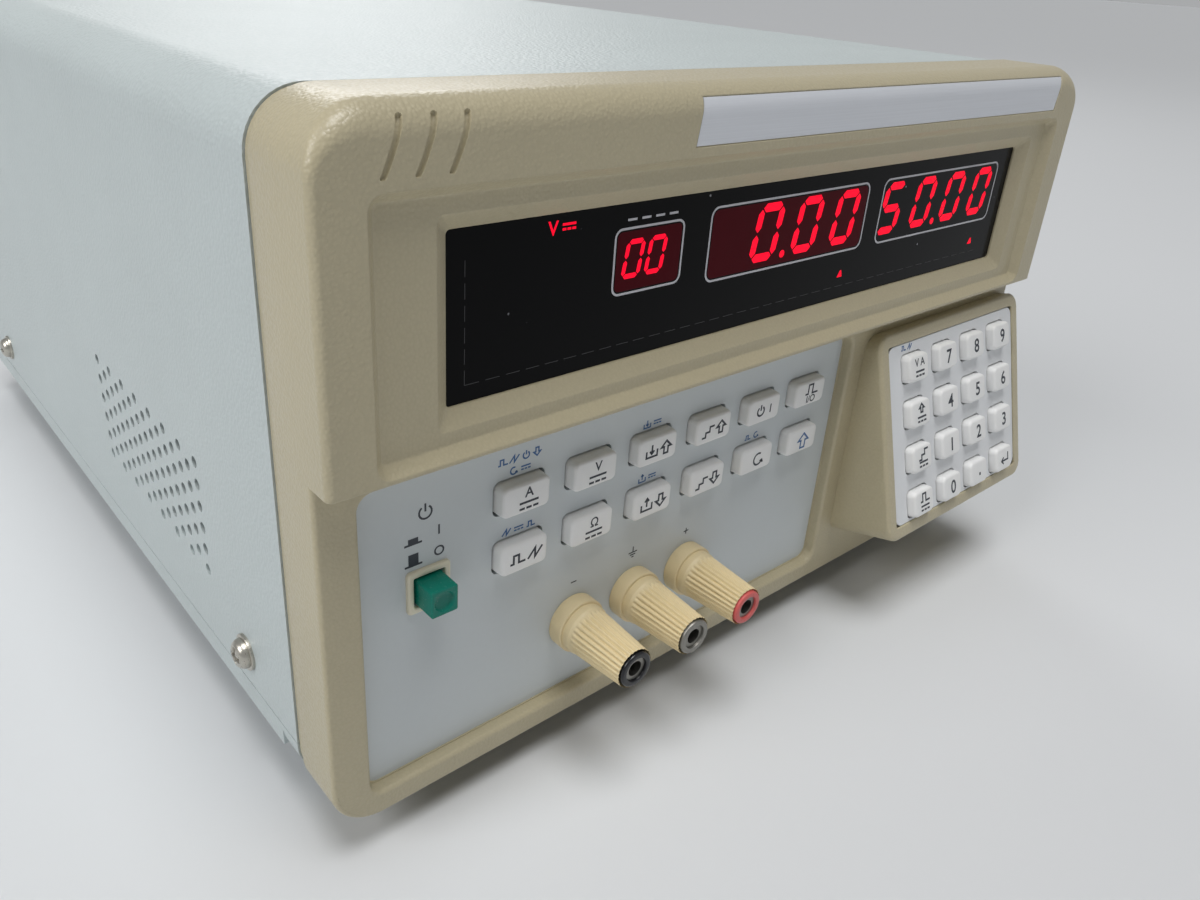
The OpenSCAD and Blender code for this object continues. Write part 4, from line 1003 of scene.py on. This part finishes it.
class LOAD_OT_posts(bpy.types.Operator):
    """Builds the binding posts: collars, fluted caps and coloured end rings."""

    bl_idname = "load.posts"
    bl_label = "Binding posts"

    def execute(self, context):
        sizes = context.scene.load_sizes
        flutes, deep = sizes.flute_count, sizes.flute_depth / MM
        collars = []
        for name in POSTS:
            cap_name = "post_cap_" + name
            middle = middle_of(cap_name)
            end = FACE_Y - box_mm(cap_name)[0][1]
            collar = filleted(COLLAR, [0.2, 0.4], 7)
            inside = ("from", on_front(np.array([*middle, 2.0])))
            collars.append(patch(lathe(collar, middle, 72), inside, True))
            start, stop = 7.3, end - 0.9

            def ripple(angle, out):
                wave = (0.5 + 0.5 * np.cos(flutes * angle)) ** 1.6
                fade = smooth_step((out - start) / 0.6) * smooth_step((stop - out) / 0.15 + 1)
                return deep * wave * fade

            root, tip = (6.25, 7.0), (5.2, end - 0.95)
            body = [(5.4, 4.32), (6.5, 4.32), (6.5, 6.3), root, tip, (4.85, end - 0.75), (4.4, end - 0.75)]
            shape = filleted(body, [0.03, 0.5, 0.5, 0.2, 0.05], 5)
            barrel = np.linspace(start - 0.1, stop + 0.1, 26)
            taper = np.interp(barrel, [root[1], tip[1]], [root[0], tip[0]])
            before, after = shape[shape[:, 1] < start - 0.2], shape[shape[:, 1] > stop + 0.2]
            shape = np.concatenate([before, np.column_stack([taper, barrel]), after])
            inside = ("from", on_front(np.array([*middle, 14.0])))
            cap = patch(lathe(shape, middle, flutes * 10, ripple), inside, True)
            make(cap_name + "_shell", [cap], KIT["posts"], cap_name, (cap_name,), crease=55)
            bore = [(4.65, end - 1.6), (4.65, end), (3.15, end), (3.02, end - 1.0), (3.02, end - 4)]
            insert = patch(lathe(filleted(bore, [0.55, 0.3, 0.2], 6), middle, 64), FRONT, True)
            finish, slot = END_RINGS[name]
            make(cap_name + "_ring", [insert], KIT[finish], cap_name, ())
        make("post_collar_set", collars, KIT["posts"], "root", ("post_collars",))
        return {"FINISHED"}


# Printing

# Display: height of the digits' middles and their slant. Heights below are counted from it.
DIGITS_UP, DIGIT_SLANT = BROW_Z + 31.887, 0.17
# Printed frames as (left, right, below, above, radius)
DISPLAY_FRAMES = ((-58.45, -38.45, 7.4, 6.6, 1.8), (-29.75, 30.55, 9.1, 8.0, 2.2), (37.45, 97.45, 9.1, 8.0, 2.2))
# Readings as digits, their places and (height, width, bar)
LARGE, SMALL = (14.0, 9.6, 2.05), (8.4, 5.4, 1.1)
READINGS = (
    ("000", (-9.45, 6.05, 21.55), LARGE),
    ("5000", (42.65, 58.45, 74.05, 89.25), LARGE),
    ("00", (-53.0, -46.4), SMALL),
)
# Faint dashed line of the mask: its corner from the pane's, (run, step, dash) up and across, and line widths
MASK_CORNER, MASK_UP, MASK_ACROSS = (4.4, 3.6), (24, 4.3, 3.1), (190, 4.9, 3.4)
DISPLAY_LINE, MASK_LINE = 0.5, 0.16
# Printed dashes over the small frame, lit points, lit unit marks and the lit sign beside the small frame
TICKS, TICK_UP, TICK = (-55.4, -51.4, -47.4, -43.4), 8.4, 2.6
POINTS, POINT_UP, POINT = (-2.6, 65.3), -6.2, 0.95
UNITS, UNIT_UP = (23.75, 90.65), -15.4
UNIT_SHAPE = np.array([[-1.1, -0.9], [1.1, -0.9], [0.5, 0.9], [-0.1, 0.9]])
VOLTS = [("V", -75.0, DIGITS_UP + 9.1, 2.9), ("dc", -71.0, DIGITS_UP + 9.1, 3.4)]
# Bars of each digit, all ten so that the readings can be changed
SEGMENTS = {
    "0": "abcdef", "1": "bc", "2": "abged", "3": "abgcd", "4": "fgbc", "5": "afgcd", "6": "afgedc", "7": "abc",
    "8": "abcdefg", "9": "abcdfg",
}


def segment_bars(height, width, thick):
    """The seven bars of a digit as pointed six-sided outlines about the digit's middle."""
    w, h, t = width / 2 - thick / 2, height / 2 - thick / 2, thick / 2
    gap = thick * 0.14
    wide, long = w - gap, h / 2 - gap
    flat = np.array([[-wide, 0], [-wide + t, t], [wide - t, t], [wide, 0], [wide - t, -t], [-wide + t, -t]])
    tall = np.array([[0, -long], [-t, -long + t], [-t, long - t], [0, long], [t, long - t], [t, -long + t]])
    return {
        "a": flat + [0, h], "g": flat, "d": flat - [0, h], "b": tall + [w, h / 2], "c": tall + [w, -h / 2],
        "f": tall + [-w, h / 2], "e": tall + [-w, -h / 2]}


def digit_faces(text, middle, height, width, thick, out):
    """One digit as lit faces, slanted about its middle."""
    bars = segment_bars(height, width, thick)
    slant = np.array([[1, 0], [DIGIT_SLANT, 1]])
    return [flat_face(bars[key] @ slant + np.asarray(middle, float), out) for key in SEGMENTS[text]]


def rounded_line(rect):
    """A rounded rectangle as a closed line."""
    loop = rounded_loop(rect, 0, 5)
    return np.concatenate([loop, loop[:1]])


class LOAD_OT_display(bpy.types.Operator):
    """Builds the printed frames, lit digits and lit marks on the display window."""

    bl_idname = "load.display"
    bl_label = "Display"

    def execute(self, context):
        out = WINDOW_OUT + PRINT_LIFT
        frames = [(a, b, DIGITS_UP - low, DIGITS_UP + high, r) for a, b, low, high, r in DISPLAY_FRAMES]
        lines = [rounded_line(f) for f in frames]
        lines += [[(x, DIGITS_UP + TICK_UP), (x + TICK, DIGITS_UP + TICK_UP)] for x in TICKS]
        printed = strokes(lines, DISPLAY_LINE, on_front, out)
        make("display_frames", printed, KIT["ink_pale"], "root", ())
        left, base = PANE[0] + MASK_CORNER[0], WINDOW_LOW[2] + WINDOW_SEAT + MASK_CORNER[1]
        run, step, dash = MASK_UP
        dashes = [[(left, base + a), (left, base + a + dash)] for a in np.arange(0, run, step)]
        run, step, dash = MASK_ACROSS
        dashes += [[(left + a, base), (left + a + dash, base)] for a in np.arange(0, run, step)]
        mask = strokes(dashes, MASK_LINE, on_front, out)
        make("display_mask_line", mask, KIT["ink_faint"], "root", ())
        glow = [flat_face(rounded_loop(f, -0.6, 4), WINDOW_OUT + PRINT_LIFT / 2) for f in frames[:2]]
        make("display_glow", glow, KIT["unlit"], "root", ())
        parts = []
        for text, places, size in READINGS:
            for digit, x in zip(text, places):
                parts += digit_faces(digit, (x, DIGITS_UP), *size, out)
        disk = rounded_loop((-POINT, POINT, -POINT, POINT, POINT), 0, 5)
        parts += [flat_face(disk + [x, DIGITS_UP + POINT_UP], out) for x in POINTS]
        parts += [flat_face(UNIT_SHAPE + [x, DIGITS_UP + UNIT_UP], out) for x in UNITS]
        parts += sign_print(VOLTS, DISPLAY_LINE, on_front, out)
        make("display_digits", parts, KIT["lit"], "root", ())
        return {"FINISHED"}


# Signs round the power switch as (sign, across, up, size) about its middle
SWITCH_MARKS = (("I", 2.9, 13.2, 2.4), ("O", 2.9, 8.0, 2.4), ("power", -0.3, 18.4, 3.6))
# Pictures of the button in and out, as (height of the base line, height of the button)
BUTTON_PICTURES = ((11.8, 1.2), (6.6, 2.6))
# Lines of the posts' signs about a point over each post
POST_SIGNS = {
    "minus": [[(-0.9, 0), (0.9, 0)]],
    "ground": [[(0, 2.6), (0, 0.9)], [(-1.5, 0.9), (1.5, 0.9)], [(-0.95, 0.2), (0.95, 0.2)],
               [(-0.4, -0.5), (0.4, -0.5)]],
    "plus": [[(-0.9, 0), (0.9, 0)], [(0, -0.9), (0, 0.9)]],
}
POST_SIGN_UP = 11.0
# Blue marks over the function keys about a key's middle, and in the corner of the keypad's plate
BLUE_MARKS = {
    "a1": [("pulse", -4.6, 8.8, 2.6), ("ramp", -1.6, 8.8, 2.6), ("power", 1.6, 8.8, 2.0), ("down", 4.6, 8.8, 2.0),
           ("cycle", -1.7, 5.9, 2.0), ("dc", 1.6, 5.9, 2.6)],
    "b1": [("ramp", -3.2, 5.8, 2.4), ("dc", 0.2, 5.8, 2.6), ("pulse", 3.6, 5.8, 2.4)],
    "a3": [("tray", -1.6, 5.9, 2.2), ("dc", 1.8, 5.9, 2.6)],
    "b3": [("lift", -1.6, 5.9, 2.2), ("dc", 1.8, 5.9, 2.6)],
    "b5": [("pulse", -1.6, 5.9, 2.4), ("cycle", 1.8, 5.9, 2.0)],
}
PLATE_MARKS = (("pulse", -28.5, 26.4, 2.4), ("ramp", -25.2, 26.4, 2.4))
# How far the plate lies behind its rim, and the widths of the printed lines
PLATE_IN = 0.4
SWITCH_LINE, PICTURE_LINE, POST_LINE, BLUE_LINE = 0.45, 0.5, 0.36, 0.38


def moved(items, middle):
    """Items of (sign, across, up, size) moved to a middle."""
    return [(sign, middle[0] + a, middle[1] + u, size) for sign, a, u, size in items]


class LOAD_OT_printing(bpy.types.Operator):
    """Prints the generic marks of the control panel: switch marks, post signs and small blue signs."""

    bl_idname = "load.printing"
    bl_label = "Panel printing"

    def execute(self, context):
        middle = middle_of("switch_frame")
        dark = sign_print(moved(SWITCH_MARKS, middle), SWITCH_LINE, on_front, PRINT_LIFT)
        lines = [[(-5.4, up), (-1.2, up)] for up, height in BUTTON_PICTURES]
        dark += strokes(np.add(lines, middle), PICTURE_LINE, on_front, PRINT_LIFT)
        for up, height in BUTTON_PICTURES:
            base, top = up + 0.2, up + 0.2 + height
            block = [(-4.5, base), (-2.1, base), (-2.1, top), (-4.5, top)]
            dark.append(flat_face(np.add(block, middle), PRINT_LIFT))
        for name, lines in POST_SIGNS.items():
            middle = np.add(middle_of("post_cap_" + name), (0, POST_SIGN_UP))
            dark += strokes([np.add(line, middle) for line in lines], POST_LINE, on_front, PRINT_LIFT)
        make("panel_marks", dark, KIT["ink"], "root", ())
        blue = []
        for name, items in BLUE_MARKS.items():
            blue += sign_print(moved(items, middle_of("fn_key_" + name)), BLUE_LINE, on_front, PRINT_LIFT)
        blue += sign_print(PLATE_MARKS, BLUE_LINE, on_keypad, PRINT_LIFT - PLATE_IN)
        make("panel_blue_marks", blue, KIT["ink_blue"], "root", ())
        return {"FINISHED"}


# Screws and rear fittings


def screw(place, radius, height, seat=0.0):
    """A pan head with a cross recess, and a washer under it where seat is its thickness: rings about the
    screw's axis whose height falls to the rim like a flattened dome and sinks in the cross."""
    turn = np.linspace(0, 2 * np.pi, 96, endpoint=False)
    rings = np.concatenate([np.linspace(0, 0.72, 24), np.sin(np.radians(np.linspace(50, 90, 9)))]) * radius
    x, y = rings[:, None] * np.cos(turn), rings[:, None] * np.sin(turn)
    dome = height * np.clip(1 - (rings / radius) ** 4, 0, 1) ** 0.5
    wide, arm, soft = 0.3 * radius, 0.62 * radius, 0.06 * radius
    one = smooth_step((wide / 2 - np.abs(x)) / soft + 0.5) * smooth_step((arm - np.abs(y)) / soft + 0.5)
    two = smooth_step((wide / 2 - np.abs(y)) / soft + 0.5) * smooth_step((arm - np.abs(x)) / soft + 0.5)
    out = seat + dome[:, None] - 0.5 * height * np.maximum(one, two)
    inside = ("from", place(np.array([0.0, 0.0, -3.0])))
    parts = [patch(place(np.stack([x, y, out], -1)), inside, True)]
    if seat:
        edge = filleted([(0.5 * radius, seat), (1.21 * radius, seat), (1.21 * radius, 0)], [0.25], 5)
        level = np.repeat(edge[:, 1:], len(turn), 1)
        ring = np.stack([edge[:, :1] * np.cos(turn), edge[:, :1] * np.sin(turn), level], -1)
        parts.append(patch(place(ring), inside, True))
    return parts


# Heads as (radius, height): cabinet, fan and inlet, and the thickness of the side screws' washers
CASE_HEAD, FAN_HEAD, INLET_HEAD, WASHER = (3.8, 2.4), (3.2, 1.9), (2.5, 1.4), 0.8
# Side screws behind the panel's face and their height, and the rear panel's pair as (across, up)
SIDE_SCREWS, SIDE_UP, REAR_SCREW = (39.4, 264.6), 32.2, (105, 19.5)
# From the middle of the fan, the inlet and the socket: fan holes, inlet screws, pins, and the socket's standoffs
FAN_HOLE, INLET_SCREW, PINS, STANDOFF = 35.75, 20, ((-7, -4), (7, -4), (0, 4)), 33
# Half a pin's width and height, and a standoff's profile as (radius, out)
PIN = (1.06, 2.26)
STANDOFF_SHAPE = ((2.9, 0), (2.9, 3.6), (2.6, 3.9), (1.4, 3.9), (1.4, 1.0), (0, 1.0))


class LOAD_OT_screws(bpy.types.Operator):
    """Builds the cabinet's cross-recessed screws and the small metal fittings of the rear panel."""

    bl_idname = "load.screws"
    bl_label = "Screws and rear fittings"

    def execute(self, context):
        rear = box_mm("rear_panel")[1][1]
        sides, heads = [], []
        for sign in (-1, 1):
            for v in SIDE_SCREWS:
                at = np.array([sign * (RIGHT - 0.5), FACE_Y + v, SIDE_UP])
                sides += screw(self.on_side(sign, at), *CASE_HEAD, WASHER)
            sides += screw(self.on_rear(sign * REAR_SCREW[0], REAR_SCREW[1], rear), *CASE_HEAD)
        make("case_screw_set", sides, KIT["zinc"], "root", ("case_screws",))
        x, z = middle_of("fan_frame")
        for a in (-FAN_HOLE, FAN_HOLE):
            for b in (-FAN_HOLE, FAN_HOLE):
                heads += screw(self.on_rear(x + a, z + b, rear), *FAN_HEAD)
        x, z = middle_of("mains_inlet")
        for a in (-INLET_SCREW, INLET_SCREW):
            heads += screw(self.on_rear(x + a, z, box_mm("mains_inlet")[1][1]), *INLET_HEAD)
        make("rear_screw_set", heads, KIT["zinc"], "root", ())
        pins = []
        end = FACE_Y - rear + 0.9
        for a, b in PINS:
            rect = (x + a - PIN[0], x + a + PIN[0], z + b - PIN[1], z + b + PIN[1], 0.35)
            rows = carried(rect, [(0, end + 15), (0, end + 0.4), (-0.35, end), (-PIN[0], end)], 4, 4)
            pins.append(patch(on_front(rows), ("from", on_front(np.array([x + a, z + b, end + 6]))), True))
        make("inlet_pin_set", pins, KIT["nickel"], "root", ())
        x, z = middle_of("interface_socket")
        turn = np.radians(np.arange(0, 360, 60))
        posts = []
        hexagon = np.column_stack([np.cos(turn), np.sin(turn)])
        rows = np.array([np.column_stack([r * hexagon, np.full(6, o)]) for r, o in STANDOFF_SHAPE])
        for a in (-STANDOFF, STANDOFF):
            place = self.on_rear(x + a, z, rear + 1.5)
            posts.append(patch(place(rows), ("from", place(np.array([0.0, 0.0, 0.5]))), True))
        make("interface_standoffs", posts, KIT["nickel"], "root", (), crease=25)
        return {"FINISHED"}

    def on_side(self, sign, at):
        """Places a fitting's own (across, up, out) on the right (1) or left (-1) side, with its axis outwards."""
        return lambda p: np.stack([at[0] + sign * p[..., 2], at[1] - sign * p[..., 0], at[2] + p[..., 1]], -1)

    def on_rear(self, x, z, seat):
        """Places a fitting's own (across, up, out) on the rear, with its axis towards the back."""
        return lambda p: np.stack([x - p[..., 0], seat + p[..., 2], z + p[..., 1]], -1)


# Stage

# Half the floor's side in metres, strength of the background, lamps as (name, kind, place, sun's angle or
# disk's width, power) and the point they look at, and the camera: lens in millimetres, shift, place, and its
# right, down and forward directions
FLOOR_HALF, BACKGROUND = 20.0, 0.44
LAMPS = (
    ("key_light", "SUN", (-0.05, -0.28, 1.5), np.radians(30), 1.75),
    ("left_light", "AREA", (-1.25, -0.1, 1.0), 0.8, 10.0),
    ("fill_light", "AREA", (0.6, -1.3, 0.7), 1.2, 0.9),
    ("rear_light", "AREA", (0.7, 1.5, 1.0), 1.0, 7.0),
)
LAMP_AIM = (0, -0.05, 0.08)
CAMERA_LENS, CAMERA_SHIFT = 28.596, (0.00903, -0.02873)
CAMERA_PLACE = (-0.18898, (FACE_Y - 142.564) * MM, 0.18550)
CAMERA_AXES = (
    (0.755937, -0.651664, 0.062397), (-0.242224, -0.366979, -0.898139), (0.608183, 0.663823, -0.435262))


class LOAD_OT_stage(bpy.types.Operator):
    """Sets the pale floor, the soft studio light and the camera at the photograph's angle."""

    bl_idname = "load.stage"
    bl_label = "Stage"

    def execute(self, context):
        scene = context.scene
        scene.view_settings.view_transform = "Standard"
        floor_finish = mottled("studio_paper_pale", linear("#D8DADC"), 0.85, 3.0, 0.002, 300.0, (0.99, 1.01), 0.04)
        edge = FLOOR_HALF * np.array([[-1, -1, 0], [1, -1, 0], [1, 1, 0], [-1, 1, 0]])
        mesh = bpy.data.meshes.new("studio_floor")
        mesh.from_pydata(edge.tolist(), [], [[0, 1, 2, 3]])
        mesh.materials.append(floor_finish)
        floor = bpy.data.objects.new("studio_floor", mesh)
        scene.collection.objects.link(floor)
        world = bpy.data.worlds.new("studio_world")
        world.use_nodes = True
        tree = world.node_tree
        back = tree.nodes["Background"]
        back.inputs["Color"].default_value = linear("#F2F4F6")
        sky = add(tree, "ShaderNodeTexCoord").outputs["Generated"]
        height = add(tree, "ShaderNodeSeparateXYZ", {"Vector": sky})
        glow = add(tree, "ShaderNodeMapRange", {
            "Value": height.outputs["Z"], "From Min": 0.02, "From Max": 0.25, "To Min": 0.42, "To Max": 0.05})
        ray = add(tree, "ShaderNodeLightPath").outputs
        seen = add(tree, "ShaderNodeMath", {0: ray["Is Camera Ray"], 1: ray["Is Glossy Ray"]}, operation="MAXIMUM")
        seen = add(tree, "ShaderNodeMath", {
            0: seen.outputs["Value"], 1: ray["Is Transmission Ray"]}, operation="MAXIMUM")
        shown = add(tree, "ShaderNodeMix", {
            "Factor": seen.outputs["Value"], "A": glow.outputs["Result"], "B": BACKGROUND})
        tree.links.new(shown.outputs["Result"], back.inputs["Strength"])
        scene.world = world
        for name, kind, where, soft, power in LAMPS:
            lamp = bpy.data.lights.new(name, kind)
            lamp.energy = power
            if kind == "SUN":
                lamp.angle = soft
            else:
                lamp.shape = "DISK"
                lamp.size = soft
            holder = bpy.data.objects.new(name, lamp)
            holder.matrix_world = Matrix.Translation(where) @ look_along(np.subtract(LAMP_AIM, where))
            scene.collection.objects.link(holder)
        view = bpy.data.cameras.new("photo_camera")
        view.sensor_width = 36
        view.lens = CAMERA_LENS
        view.shift_x, view.shift_y = CAMERA_SHIFT
        view.clip_start = 0.01
        holder = bpy.data.objects.new("photo_camera", view)
        right, down, ahead = (np.array(v) for v in CAMERA_AXES)
        turn = np.eye(4)
        turn[:3, :3] = np.column_stack([right, -down, -ahead])
        holder.matrix_world = Matrix.Translation(CAMERA_PLACE) @ Matrix(turn.tolist())
        scene.collection.objects.link(holder)
        scene.camera = holder
        return {"FINISHED"}


def look_along(aim):
    """A turn that points an object's -Z along a direction."""
    z = -np.asarray(aim, float) / np.linalg.norm(aim)
    x = np.cross((0, 0, 1), z)
    x /= np.linalg.norm(x)
    turn = np.eye(4)
    turn[:3, :3] = np.column_stack([x, np.cross(z, x), z])
    return Matrix(turn.tolist())


STEPS = (
    LOAD_OT_finishes, LOAD_OT_front, LOAD_OT_label, LOAD_OT_keypad, LOAD_OT_keys, LOAD_OT_switch, LOAD_OT_posts,
    LOAD_OT_display, LOAD_OT_printing, LOAD_OT_screws, LOAD_OT_stage,
)


class LOAD_PT_panel(bpy.types.Panel):
    """Lists the load's sizes, colours and building steps."""

    bl_idname = "LOAD_PT_panel"
    bl_label = "Bench load"
    bl_space_type = "VIEW_3D"
    bl_region_type = "UI"
    bl_category = "Load"

    def draw(self, context):
        for group in (context.scene.load_sizes, context.scene.load_colours):
            for key in group.__annotations__:
                self.layout.prop(group, key)
        for step in STEPS:
            self.layout.operator(step.bl_idname)


CLASSES = (LoadSizes, LoadColours, *STEPS, LOAD_PT_panel)


def register():
    """Registers the classes and hangs the settings on the scene."""
    for item in CLASSES:
        bpy.utils.register_class(item)
    bpy.types.Scene.load_sizes = bpy.props.PointerProperty(type=LoadSizes)
    bpy.types.Scene.load_colours = bpy.props.PointerProperty(type=LoadColours)


def unregister():
    """Takes the settings and the classes away again."""
    del bpy.types.Scene.load_colours
    del bpy.types.Scene.load_sizes
    for item in reversed(CLASSES):
        bpy.utils.unregister_class(item)


def main():
    """Builds every piece in order."""
    register()
    bpy.ops.load.finishes()
    bpy.ops.load.front()
    bpy.ops.load.label()
    bpy.ops.load.keypad()
    bpy.ops.load.keys()
    bpy.ops.load.switch()
    bpy.ops.load.posts()
    bpy.ops.load.display()
    bpy.ops.load.printing()
    bpy.ops.load.screws()
    bpy.ops.load.stage()


if __name__ == "__main__":
    main()
